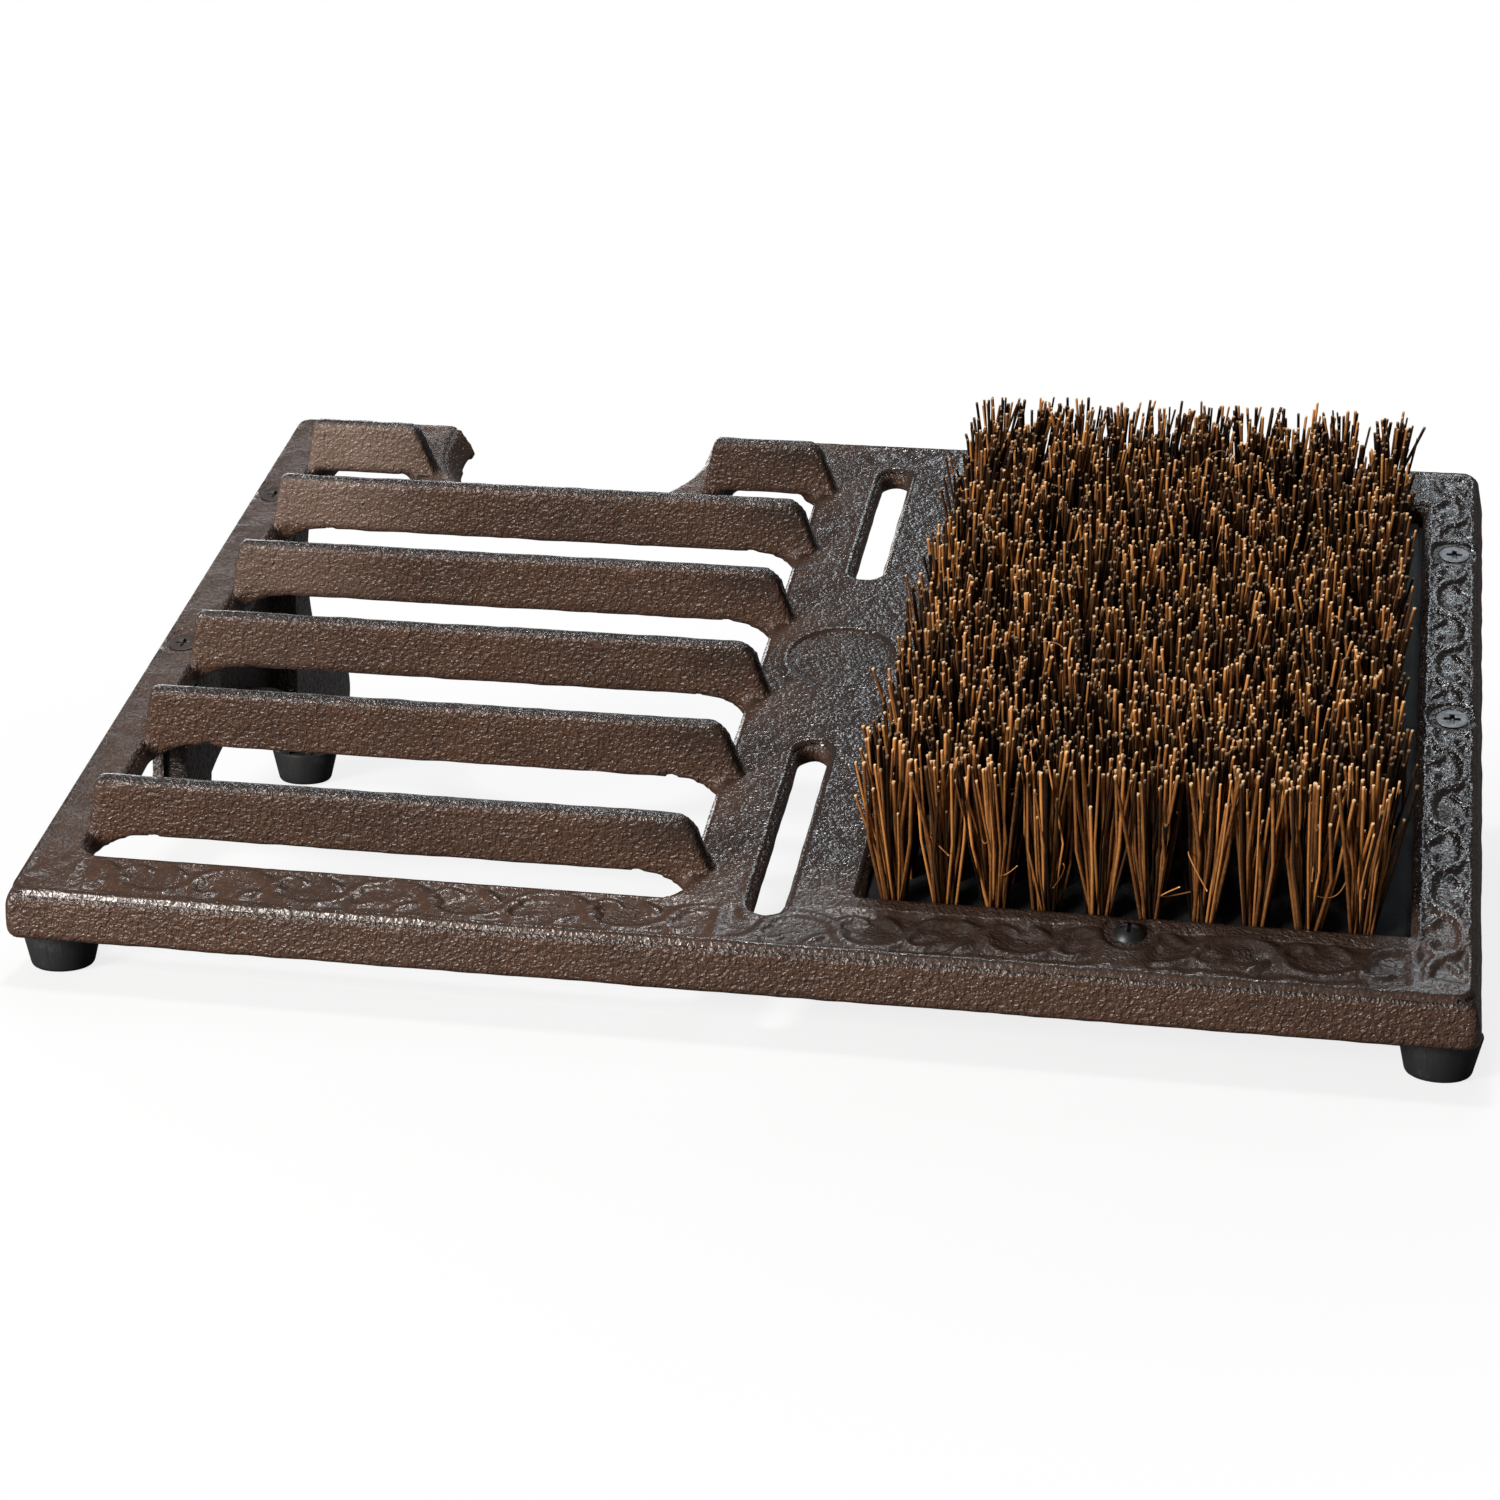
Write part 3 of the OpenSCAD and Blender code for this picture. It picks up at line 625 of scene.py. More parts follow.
@dataclass(frozen=True)
class BrownCoat:
    """How the brown lies on the plate's top, over spans of plate millimetres and of the normals' rise."""

    rise: Pair = (0.45, 0.75)
    front_rail: Pair = (36.0, 16.0)
    brush_side: Pair = (-25.0, 20.0)
    left_rail: Pair = (-160.0, -172.0)
    left_deep: float = 0.6
    front_deep: float = 0.45

    def mark(self, obj: bpy.types.Object) -> None:
        """Marks the brush side, where the brown is thin, and the rails, where it is deep; on the front rail
        beside the brush the deep mark is painted shadow of the brush's overhang.
        """
        (x, y, _), _, up = Bench.on_plate(obj)
        top, front = ramp(up, *self.rise), ramp(y, *self.front_rail)
        right = ease(ramp(x, *self.brush_side))
        left = self.left_deep * ramp(x, *self.left_rail)
        Bench.store(obj, "thin", right * top * (1.0 - front))
        # On the front rail beside the brush the deep mark is full: painted shadow of the brush.
        Bench.store(obj, "deep", top * np.maximum(left, np.maximum(right, self.front_deep) * front))


@dataclass
class Casting:
    """The plate with its bars, softened together as one casting; spans are in plate millimetres."""

    voxel_mm: float = 1.25
    rounds: int = 2
    bars: int = 5
    notch_x: float = -90.0
    lip_h: float = 9.8
    lip_r: float = 38.0
    rim_end: float = 54.0
    rim_front: float = 246.0
    rim_back: float = 254.5
    rim_drop: float = 4.0
    rim_margin: float = 4.0
    rim_squeeze: float = 0.08
    soft_r: float = 60.0
    soft_y: float = 243.0
    soft_z: float = -4.0
    soft_rounds: int = 5
    front_y: float = 5.0
    front_z: float = -4.0
    front_lean: Pair = (0.66, 0.20)
    bar_top: Pair = (15.5, 16.9)
    # Spans of the painted shade on the bars' right-hand ends and on the corner by the column.
    shaded_end_turn: Pair = (0.35, 0.65)
    shaded_end_z: Pair = (1.0, 3.0)
    shaded_corner_x: Pair = (-38.0, -18.0)
    shaded_corner_z: Pair = (3.0, 13.0)
    half_wear_and_shade: float = 0.6
    # Spans of the painted light on the rear bars' left ends.
    lit_patch_x: Pair = (-118.0, -152.0)
    lit_patch_y: Pair = (90.0, 220.0)
    lit_patch_z: Pair = (0.0, 3.0)
    lit_patch_turn: Pair = (0.4, 0.7)

    def build(self, iron: bpy.types.Material) -> bpy.types.Object:
        """Builds and dresses the casting.

        Args:
            iron: its material.

        Returns:
            The finished piece.
        """
        bars = [f"scraper_bar_{i + 1}" for i in range(self.bars)]
        nodes = ["plate", *bars, "jack_bar_left", "jack_bar_right"]
        body = Bench.copy_nodes("casting", nodes)
        Bench.cast(body, self.voxel_mm, self.rounds)
        self.trim(body)
        Bench.wear(body, 0.08, 0.32, rounds=1)
        Bench.store(body, "rubbed_and_shaded", self.rubbed_and_shaded(body))
        # Painted light on the rear bars' left ends.
        Bench.store(body, "dust", self.dust(body))
        Bench.uneven(body, 9.0, 0.5)
        BrownCoat().mark(body)
        Bench.finish(body, iron, Slot.IRON, *nodes)
        return body

    def trim(self, body: bpy.types.Object) -> None:
        """Draws the rear rim's ends up to the lip beside the notch, and smooths them."""
        body.data.transform(SLOPE.matrix.inverted())
        co = np.empty(len(body.data.vertices) * 3)
        body.data.vertices.foreach_get("co", co)
        x, y, z = co.reshape(-1, 3).T
        away = np.abs(x - self.notch_x)
        reach = self.rim_end + self.rim_margin
        limit = -self.lip_h - self.rim_drop * ramp(away, self.lip_r + self.rim_margin, reach)
        low = (away < reach) & (y > self.rim_front) & (z < limit)
        z[low] = limit[low] + (z[low] - limit[low]) * self.rim_squeeze
        y[low] = np.minimum(y[low], self.rim_back)
        x[low] = np.sign(x[low] - self.notch_x) * np.maximum(away[low], self.lip_r) + self.notch_x
        body.data.vertices.foreach_set("co", co)
        body.data.transform(SLOPE.matrix)
        body.data.update()
        ends = body.vertex_groups.new(name="ends")
        near = (away < self.soft_r) & (y > self.soft_y) & (z < self.soft_z)
        ends.add(np.flatnonzero(near).tolist(), 1.0, "REPLACE")
        Bench.modify(body, "SMOOTH", factor=0.5, iterations=self.soft_rounds, vertex_group=ends.name)
        body.vertex_groups.clear()

    def rubbed_and_shaded(self, body: bpy.types.Object) -> np.ndarray:
        """Marks the bars' tops and the front edge, where the brown is rubbed off, and the bars' right-hand
        ends and the corner by the column, which carry painted shade.
        """
        (x, y, z), no, up = Bench.on_plate(body)
        lean, spread = self.front_lean
        edge = np.clip(1.2 - np.abs(up - lean) / spread, 0, self.half_wear_and_shade)
        edge *= (y < self.front_y) * (z > self.front_z)
        top = ramp(z, *self.bar_top)
        # The right-facing ends and the corner are painted shade, dark where the key light from the left does
        # not reach.
        end = ramp(no[:, 0], *self.shaded_end_turn) * ramp(z, *self.shaded_end_z)
        corner = self.half_wear_and_shade * ramp(x, *self.shaded_corner_x) * (x < 0.0) * ramp(z, *self.shaded_corner_z)
        return np.maximum.reduce([top, end, edge, corner])

    def dust(self, body: bpy.types.Object) -> np.ndarray:
        """Marks the left ends of the rear bars' front faces, which get painted light: a paler patch where
        light from the left falls.
        """
        (x, y, z), no, _ = Bench.on_plate(body)
        left = ramp(x, *self.lit_patch_x) * ramp(y, *self.lit_patch_y)
        return left * ramp(-no[:, 1], *self.lit_patch_turn) * ramp(z, *self.lit_patch_z)


@dataclass
class Leg:
    """One cast leg bracket with rounded edges."""

    side: Side
    edge_mm: float = 0.9

    def build(self, iron: bpy.types.Material) -> bpy.types.Object:
        """Builds and dresses the leg."""
        node = f"leg_{self.side.name.lower()}"
        body = Bench.copy_nodes(f"cast_{node}", [node])
        Bench.bevelled(body, self.edge_mm, angle=40.0)
        Bench.finish(body, iron, Slot.IRON, node)
        return body


# Relief on the plate's top


@dataclass
class Relief:
    """A thin skin on the plate's top that carries the cast scrolls, borders and grain."""

    width: float = 370.0
    depth: float = 256.0
    corner: float = 5.0
    pitch: float = 0.62
    lift: float = 0.14
    inset: float = 1.7
    hem: float = 1.1
    sink: float = 0.55
    grate: Box = (-170.3, 19.0, -11.7, 228.5)
    grate_r: float = 6.0
    window: Box = (33.7, 25.0, 169.0, 234.5)
    notch: Triple = (-90.0, 246.0, 41.5)
    band: float = 12.0
    column: float = 23.0
    slot_x: float = 11.0
    slot_w: float = 8.0
    slots: tuple[Pair, ...] = ((15.0, 90.0), (176.5, 239.0))
    medal: Box = (11.0, 133.25, 16.5, 2.0)
    medal_h: float = 0.95
    medal_edge: float = 1.6
    dish: float = 1.45
    dish_edge: Pair = (0.5, 0.9)
    screws: tuple[Triple, ...] = (
        (178.0, 122.0, 6.0), (178.0, 208.0, 6.0), (-178.0, 122.0, 6.0), (-178.0, 208.0, 6.0),
        (101.35, 18.0, 6.2), (101.35, 241.5, 6.2))
    screw_edge: float = 1.5
    screw_lap: float = 1.4
    scroll_h: float = 1.2
    plain_h: float = 0.7
    border: float = 3.4
    border_h: float = 0.75
    border_edge: float = 1.3
    grain_h: float = 0.06
    front_rail: float = 19.0
    right_rail: float = 168.0
    xs: np.ndarray = field(init=False)
    ys: np.ndarray = field(init=False)

    def build(self, iron: bpy.types.Material) -> bpy.types.Object:
        """Builds and dresses the relief.

        Args:
            iron: its material.

        Returns:
            The finished piece.
        """
        nx, ny = round(self.width / self.pitch), round(self.depth / self.pitch)
        Bench.clear()
        bpy.ops.mesh.primitive_grid_add(x_subdivisions=nx, y_subdivisions=ny, size=1.0)
        skin = bpy.context.object
        skin.name = skin.data.name = "relief"
        co, _ = Bench.points(skin)
        x, y = co[:, 0] * self.width, (co[:, 1] + 0.5) * self.depth
        self.xs, self.ys = x.reshape(ny + 1, nx + 1), y.reshape(ny + 1, nx + 1)
        clear = self.clearance(self.xs, self.ys)
        height = self.heights(clear)
        co[:, 0], co[:, 1], co[:, 2] = x, y, height.ravel()
        skin.data.vertices.foreach_set("co", co.ravel())
        Bench.store(skin, "sleek", np.maximum.reduce([
            1.0 * (y < self.front_rail), 0.9 * self.on_column(x), 0.55 * (x > self.right_rail)]))
        self.trim(skin, clear.ravel() > self.inset - self.hem)
        skin.data.transform(SLOPE.matrix)
        skin.data.update()
        Bench.pick(skin)
        bpy.ops.object.shade_smooth()
        Bench.wear(skin, 0.03, 0.30, rounds=1)
        BrownCoat().mark(skin)
        Bench.finish(skin, iron, Slot.IRON)
        return skin

    @staticmethod
    def trim(skin: bpy.types.Object, keep: np.ndarray) -> None:
        """Deletes the points where there is no metal under the skin."""
        Bench.pick(skin)
        bpy.ops.object.mode_set(mode="EDIT")
        bpy.ops.mesh.select_mode(type="VERT")
        bpy.ops.mesh.select_all(action="DESELECT")
        bpy.ops.object.mode_set(mode="OBJECT")
        skin.data.vertices.foreach_set("select", ~keep)
        bpy.ops.object.mode_set(mode="EDIT")
        bpy.ops.mesh.delete(type="VERT")
        bpy.ops.object.mode_set(mode="OBJECT")

    @staticmethod
    def outside(x: np.ndarray, y: np.ndarray, box: Sequence[float], r: float = 0.0) -> np.ndarray:
        """Distance out of a box with rounded corners, negative inside it."""
        cx, cy = (box[0] + box[2]) / 2, (box[1] + box[3]) / 2
        qx = np.abs(x - cx) - (box[2] - box[0]) / 2 + r
        qy = np.abs(y - cy) - (box[3] - box[1]) / 2 + r
        return np.hypot(np.maximum(qx, 0), np.maximum(qy, 0)) + np.minimum(np.maximum(qx, qy), 0) - r

    def on_column(self, x: np.ndarray) -> np.ndarray:
        """Which points are on the column between the grate and the brush."""
        return np.abs(x - self.slot_x) < self.column

    def clearance(self, x: np.ndarray, y: np.ndarray) -> np.ndarray:
        """Distance from the nearest edge of the metal, negative where there is none."""
        edge = -self.outside(x, y, (-self.width / 2, 0.0, self.width / 2, self.depth), self.corner)
        nx, ny, nr = self.notch
        notch = np.where(y < ny, np.hypot(x - nx, y - ny), np.abs(x - nx))
        grate = np.maximum(self.outside(x, y, self.grate, self.grate_r), nr + self.band - notch)
        gaps = [edge, grate, notch - nr, self.outside(x, y, self.window)]
        half = self.slot_w / 2
        for y0, y1 in self.slots:
            gaps.append(self.outside(x, y, (self.slot_x - half, y0, self.slot_x + half, y1), half - 0.01))
        for sx, sy, r in self.screws:
            gaps.append(np.hypot(x - sx, y - sy) - r + self.screw_lap)
        return np.minimum.reduce(gaps)

    @staticmethod
    def speckle(shape: tuple[int, int], cell: int, seed: int) -> np.ndarray:
        """Smooth seeded noise from -1 to 1, with features of some grid steps."""
        rng = np.random.default_rng(seed)
        rows, cols = shape[0] // cell + 3, shape[1] // cell + 3
        coarse = rng.uniform(-1, 1, (rows, cols))
        v, u = np.arange(shape[0]) / cell, np.arange(shape[1]) / cell
        i, j = v.astype(int), u.astype(int)
        fv, fu = ease(v - i)[:, None], ease(u - j)[None, :]
        top = coarse[np.ix_(i, j)] * (1 - fu) + coarse[np.ix_(i, j + 1)] * fu
        low = coarse[np.ix_(i + 1, j)] * (1 - fu) + coarse[np.ix_(i + 1, j + 1)] * fu
        return top * (1 - fv) + low * fv

    def heights(self, clear: np.ndarray) -> np.ndarray:
        """Height of the skin over the plate's top, in millimetres."""
        z = np.zeros_like(clear)
        vines = Scrollwork()
        for stroke in vines.strokes():
            self.stamp(z, stroke)
        plain = np.full_like(z, self.plain_h)
        for band in vines.bands:
            inside = ramp(band.away(self.xs, self.ys), 1.5, -0.5)
            plain = np.minimum(plain, self.plain_h * (1 - inside * band.height))
        leather = 0.30 * self.speckle(z.shape, 11, 3) + 0.22 * self.speckle(z.shape, 6, 4)
        leather *= 1.0 - 0.75 * self.on_column(self.xs)
        z = np.maximum(z, plain) + leather * (0.35 + 0.65 * (z < plain))
        z += (self.border_h - z) * ease(ramp(clear, self.border, self.border - self.border_edge))
        for _ in range(2):
            beside = z[:-2, 1:-1] + z[2:, 1:-1] + z[1:-1, :-2] + z[1:-1, 2:]
            z[1:-1, 1:-1] = (z[1:-1, 1:-1] * 2 + beside) / 6
        z *= self.scroll_h
        for sx, sy, r in self.screws:
            z *= ramp(np.hypot(self.xs - sx, self.ys - sy), r, r + self.screw_edge)
        mx, my, mr, ring = self.medal
        away = np.hypot(self.xs - mx, self.ys - my)
        dish_r = mr - ring + self.dish_edge[0]
        z += (self.medal_h - z) * ramp(away, mr + self.medal_edge, mr)
        z -= self.dish * ramp(away, dish_r, dish_r - self.dish_edge[1])
        z += self.grain_h * (self.speckle(z.shape, 3, 5) + 0.6 * self.speckle(z.shape, 7, 9))
        z += self.lift
        return z - ramp(clear, self.inset, self.inset - self.hem) * (z + self.sink)

    def stamp(self, z: np.ndarray, stroke: "Stroke") -> None:
        """Raises the skin along a stroke, round in section."""
        for px, py, r, h in stroke.samples():
            reach = int(r / self.pitch) + 2
            i = int(round(py / self.depth * (z.shape[0] - 1)))
            j = int(round((px / self.width + 0.5) * (z.shape[1] - 1)))
            rows = slice(max(i - reach, 0), min(i + reach + 1, z.shape[0]))
            cols = slice(max(j - reach, 0), min(j + reach + 1, z.shape[1]))
            d2 = ((self.xs[rows, cols] - px) ** 2 + (self.ys[rows, cols] - py) ** 2) / (r * r)
            arch = np.minimum(1.35 * np.sqrt(np.clip(1 - d2, 0, 1)), 1.0)
            z[rows, cols] = np.maximum(z[rows, cols], h * arch)


@dataclass
class Stroke:
    """A raised line of ornament, from one end to the other, thick in the middle."""

    path: Callable[[float], Pair]
    length: float
    thick: float
    ends: Pair
    height: float
    spacing: float = 0.35
    fullness: float = 0.7
    low: float = 0.45

    def samples(self) -> list[Box]:
        """Places along the stroke, with the radius and height at each."""
        count = max(int(self.length / self.spacing), 4)
        out = []
        for k in range(count + 1):
            t = k / count
            swell = math.sin(math.pi * t) ** self.fullness
            end = self.ends[0] * (1 - t) + self.ends[1] * t
            share = end + (1 - end) * swell
            px, py = self.path(t)
            out.append((px, py, self.thick / 2 * share, self.height * (self.low + (1 - self.low) * share)))
        return out


@dataclass
class Band:
    """A straight strip of the plate that a running vine follows."""

    start: Pair
    end: Pair
    half: float
    repeats: int
    first: int = 1
    height: float = 1.0

    @property
    def length(self) -> float:
        """Distance from the strip's start to its end."""
        return math.hypot(self.end[0] - self.start[0], self.end[1] - self.start[1])

    @property
    def way(self) -> Pair:
        """Direction from the strip's start to its end."""
        return (self.end[0] - self.start[0]) / self.length, (self.end[1] - self.start[1]) / self.length

    def at(self, along: float, across: float) -> Pair:
        """A place on the strip."""
        (x0, y0), (ax, ay) = self.start, self.way
        return x0 + ax * along - ay * across, y0 + ay * along + ax * across

    def away(self, x: np.ndarray, y: np.ndarray) -> np.ndarray:
        """Distance out of the strip, negative inside it."""
        (x0, y0), (ax, ay) = self.start, self.way
        along = (x - x0) * ax + (y - y0) * ay
        across = np.abs((x - x0) * ay - (y - y0) * ax)
        return np.maximum(np.maximum(-along, along - self.length), across - self.half)


@dataclass
class Scrollwork:
    """Running vines of curls and leaves along the rails and the column."""

    thick: float = 3.0
    bands: tuple[Band, ...] = (
        Band((177.0, 8.0), (177.0, 115.0), 5.0, 6),
        Band((177.0, 129.0), (177.0, 201.0), 5.0, 4, -1),
        Band((177.0, 215.0), (177.0, 250.0), 5.0, 2),
        Band((-177.8, 8.0), (-177.8, 115.0), 4.2, 6, 1, 0.4),
        Band((-168.0, 9.8), (-2.0, 9.8), 6.4, 8, 1, 0.9),
        Band((2.0, 9.0), (94.0, 11.5), 6.8, 5, -1, 0.85),
        Band((108.0, 12.2), (168.0, 12.2), 7.2, 3, -1, 0.85),
        Band((-24.0, 247.3), (28.0, 247.3), 4.6, 3, -1, 0.6),
        Band((30.0, 245.2), (94.0, 245.2), 7.0, 3, 1, 0.6),
        Band((108.0, 245.2), (168.0, 245.2), 7.0, 3, -1, 0.6),
    )

    def strokes(self) -> list[Stroke]:
        """Every stroke of the ornament."""
        return [s for band in self.bands for s in self.vine(band)]

    def vine(self, band: Band) -> list[Stroke]:
        """A wavy stem with a curl and a leaf in each bend.

        Args:
            band: the strip that the vine follows.

        Returns:
            Its strokes.
        """
        step = band.length / band.repeats
        out = []
        for k in range(band.repeats):
            sign = band.first * (1 if k % 2 == 0 else -1)
            start = k * step

            def stem(t: float, start: float = start, sign: int = sign) -> Pair:
                """An S from one edge of the strip to the other."""
                along = start + step * (t + 0.10 * math.sin(2 * math.pi * t))
                return band.at(along, sign * band.half * 0.86 * math.cos(math.pi * t))

            def curl(t: float, start: float = start, sign: int = sign) -> Pair:
                """A hook that leaves the stem and turns back under it."""
                turn = math.pi * (0.15 + 1.25 * t)
                r = band.half * 0.66 * (1 - 0.55 * t)
                return band.at(start + step * 0.66 + sign * r * 0.2 + r * math.cos(turn),
                               sign * (band.half * 0.18 + r * math.sin(turn)))

            def leaf(t: float, start: float = start, sign: int = sign) -> Pair:
                """A short pointed leaf on the other side of the stem."""
                return band.at(start + step * (0.10 + 0.26 * t), -sign * band.half * (0.92 - 0.62 * t))

            out.append(Stroke(stem, step, self.thick, (0.8, 0.8), band.height))
            out.append(Stroke(curl, band.half * 2.8, self.thick * 0.72, (0.7, 0.95), band.height))
            out.append(Stroke(leaf, band.half * 1.3, self.thick * 0.75, (0.25, 0.6), band.height))
        return out


# Brush


@dataclass
class Brush:
    """The board and its tufts of cut fibre, in plate millimetres."""

    columns: int = 10
    rows: int = 16
    strands: int = 37
    spare: int = 6
    left: float = 41.5
    right: float = 157.0
    front: float = 30.0
    back: float = 228.5
    edge: float = 231.5
    edge_squeeze: float = 0.3
    narrow: float = 0.028
    root_z: float = -5.2
    root_stray: float = 0.3
    tip_front: float = 44.0
    tip_back: float = 33.0
    tip_from: float = 25.0
    tip_run: float = 203.0
    tip_stray: float = 1.4
    ragged: float = 2.8
    short_share: float = 0.32
    short_by: Pair = (2.0, 15.0)
    tall_share: float = 0.05
    tall_by: Pair = (0.5, 2.5)
    tuft_r: float = 2.4
    tuft_lean: float = 0.8
    fan: float = 1.10
    bow: float = 1.1
    strand_r: float = 0.46
    strand_spread: Pair = (0.70, 1.25)
    taper: float = 0.12
    sides: int = 5
    rings: int = 3
    crease: float = 75.0
    dark_share: float = 0.57
    dark_front: float = 0.30
    front_row: float = 4.0
    front_shade_offset: float = 0.35
    strays: int = 14
    stray_r: float = 0.17
    stray_rings: int = 16
    stray_top: float = 38.0
    seed: int = 41

    def build(self, board: bpy.types.Material, fibres: Sequence[bpy.types.Material]) -> None:
        """Builds and dresses the brush.

        Args:
            board: the board's material.
            fibres: materials of the golden and the dark strands.
        """
        block = Bench.copy_nodes("board", ["brush_block"])
        Bench.bevelled(block, 0.8)
        Bench.finish(block, board, Slot.BOARD, "brush_block")
        rng = np.random.default_rng(self.seed)
        strands = self.lay_out(rng)
        front = self.in_front(strands[2])
        # Dark strands are real black fibres; their larger share behind the front row also stands in as
        # painted shade between the inner strands.
        dark = rng.random(len(strands[0])) < np.where(front, self.dark_front, self.dark_share)
        for name, pick, material, nodes in (("golden_bristles", ~dark, fibres[0], ["bristles"]),
                                            ("dark_bristles", dark, fibres[1], [])):
            obj = self.bundle(name, [s[pick] for s in strands], self.rings)
            Bench.finish(obj, material, Slot.FIBRE, *nodes)
        hairs = self.bundle("stray_hairs", self.loose(rng), self.stray_rings)
        Bench.finish(hairs, fibres[0], Slot.FIBRE)

    def in_front(self, tips: np.ndarray) -> np.ndarray:
        """Which strands end in the front row, where they show down to the board."""
        return tips[:, 1] < self.front + self.front_row

    def lay_out(self, rng: np.random.Generator) -> list[np.ndarray]:
        """Roots, bends, tips, radii and tints of all the strands, in plate millimetres."""
        wide = (self.right - self.left) / (self.columns - 1)
        deep = (self.back - self.front) / (self.rows - 1)
        roots, tips = [], []
        for i in range(self.columns):
            for j in range(self.rows):
                cx, cy = self.left + wide * i, self.front + deep * j
                n = self.strands + int(rng.integers(-self.spare, self.spare + 1))
                across, along = rng.uniform(-0.5, 0.5, (2, n))
                lean = rng.normal(0, self.tuft_lean, 2)
                tx = cx + across * wide * self.fan + lean[0] + rng.normal(0, self.tip_stray, n)
                ty = cy + along * deep * self.fan + lean[1] + rng.normal(0, self.tip_stray, n)
                ty = np.minimum(ty, self.edge + (ty - self.edge) * self.edge_squeeze)
                tx = tx + (self.right - tx) * self.narrow * (ty - self.front) / (self.back - self.front)
                trim = self.tip_front + (self.tip_back - self.tip_front) * (ty - self.tip_from) / self.tip_run
                short = (rng.random(n) < self.short_share) * rng.uniform(*self.short_by, n)
                tall = (rng.random(n) < self.tall_share) * rng.uniform(*self.tall_by, n)
                tz = trim - np.abs(rng.normal(0, self.ragged, n)) - short + tall
                rx = cx + across * 2 * self.tuft_r + rng.normal(0, self.root_stray, n)
                ry = cy + along * 2 * self.tuft_r + rng.normal(0, self.root_stray, n)
                roots.append(np.column_stack([rx, ry, np.full(n, self.root_z)]))
                tips.append(np.column_stack([tx, ty, tz]))
        roots, tips = np.concatenate(roots), np.concatenate(tips)
        n = len(roots)
        bends = rng.normal(0, self.bow, (n, 3)) * (1, 1, 0)
        return [roots, bends, tips, self.strand_r * rng.uniform(*self.strand_spread, n), rng.random(n)]

    def loose(self, rng: np.random.Generator) -> list[np.ndarray]:
        """A few thin loose hairs that stick out of the brush's front, sides and top."""
        n = self.strays
        x = rng.uniform(self.left, self.right, n)
        front = np.arange(n) % 3 != 0
        y = np.where(front, self.front - 3.0, rng.uniform(self.front, self.back, n))
        z = np.where(front, rng.uniform(4, 26, n), 30.0)
        roots = np.column_stack([x, y + 4.0, z - 2.0])
        tips = roots + np.column_stack([
            rng.normal(0, 7, n), np.where(front, -7.5, 2.0), rng.uniform(-6, 9, n)])
        tips[~front, 2] = self.stray_top
        bends = rng.normal(0, 3.2, (n, 3)) * (1.0, 0.3, 1.0)
        return [roots, bends, tips, np.full(n, self.stray_r), rng.uniform(0.5, 1.0, n)]

    def bundle(self, name: str, strands: Sequence[np.ndarray], rings: int) -> bpy.types.Object:
        """Copies one modelled strand to every place of a set, in one mesh.

        Args:
            name: the new piece's name.
            strands: roots, bends, tips, radii and tints.
            rings: rings of points along a strand.

        Returns:
            The bundle, with each point's place along its strand and its strand's tint stored on it; front-row
            strands have their place shifted up, which lessens their painted root shade.
        """
        roots, bends, tips, radii, tints = strands
        Bench.clear()
        bpy.ops.mesh.primitive_circle_add(vertices=self.sides, radius=1.0, fill_type="NOTHING")
        obj = bpy.context.object
        bpy.ops.object.mode_set(mode="EDIT")
        for _ in range(rings - 1):
            bpy.ops.mesh.extrude_region_move(TRANSFORM_OT_translate={"value": (0, 0, 1.0 / (rings - 1))})
        bpy.ops.mesh.edge_face_add()
        bpy.ops.mesh.select_all(action="SELECT")
        bpy.ops.mesh.normals_make_consistent(inside=False)
        bpy.ops.object.mode_set(mode="OBJECT")
        one = np.array([v.co for v in obj.data.vertices])
        faces = [tuple(p.vertices) for p in obj.data.polygons]
        t = one[:, 2]
        along = tips - roots
        axis = along / np.linalg.norm(along, axis=1, keepdims=True)
        side = np.cross(axis, (0.0, 1.0, 0.0))
        side /= np.linalg.norm(side, axis=1, keepdims=True)
        other = np.cross(axis, side)
        circle = one[None, :, 0, None] * side[:, None] + one[None, :, 1, None] * other[:, None]
        ring = radii[:, None, None] * circle
        taper = (1.0 - self.taper * t)[None, :, None]
        bow = (4 * t * (1 - t))[None, :, None] * bends[:, None]
        points = roots[:, None] + t[None, :, None] * along[:, None] + bow + ring * taper
        n, m = len(roots), len(one)
        mesh = bpy.data.meshes.new(name)
        polygons = [tuple(v + k * m for v in f) for k in range(n) for f in faces]
        mesh.from_pydata(points.reshape(-1, 3), [], polygons)
        mesh.transform(SLOPE.matrix)
        mesh.update()
        old = obj.data
        obj.data = mesh
        bpy.data.meshes.remove(old)
        obj.name = name
        # Front-row strands start partway along, so they carry less painted root shade.
        shade_offset = np.where(self.in_front(tips), self.front_shade_offset, 0.0)[:, None]
        Bench.store(obj, "along", (shade_offset + (1.0 - shade_offset) * t).ravel())
        Bench.store(obj, "tint", np.repeat(tints, m))
        Bench.pick(obj)
        bpy.ops.object.shade_smooth_by_angle(angle=math.radians(self.crease))
        return obj


# Feet and screws


@dataclass
class Feet:
    """Four moulded rubber feet."""

    edge_mm: float = 0.7
    pin_edge_mm: float = 0.12
    names: tuple[str, ...] = ("front_left", "front_right", "rear_left", "rear_right")

    def build(self, rubber: bpy.types.Material, zinc: bpy.types.Material) -> None:
        """Builds and dresses the feet and the screws inside them."""
        for name in self.names:
            foot = Bench.copy_nodes(f"rubber_foot_{name}", [f"foot_{name}"])
            Bench.bevelled(foot, self.edge_mm, angle=25.0)
            Bench.finish(foot, rubber, Slot.RUBBER, f"foot_{name}")
            screw = Bench.copy_nodes(f"foot_pin_{name}", [f"foot_screw_{name}"])
            Bench.bevelled(screw, self.pin_edge_mm)
            Bench.finish(screw, zinc, Slot.ZINC, f"foot_screw_{name}")


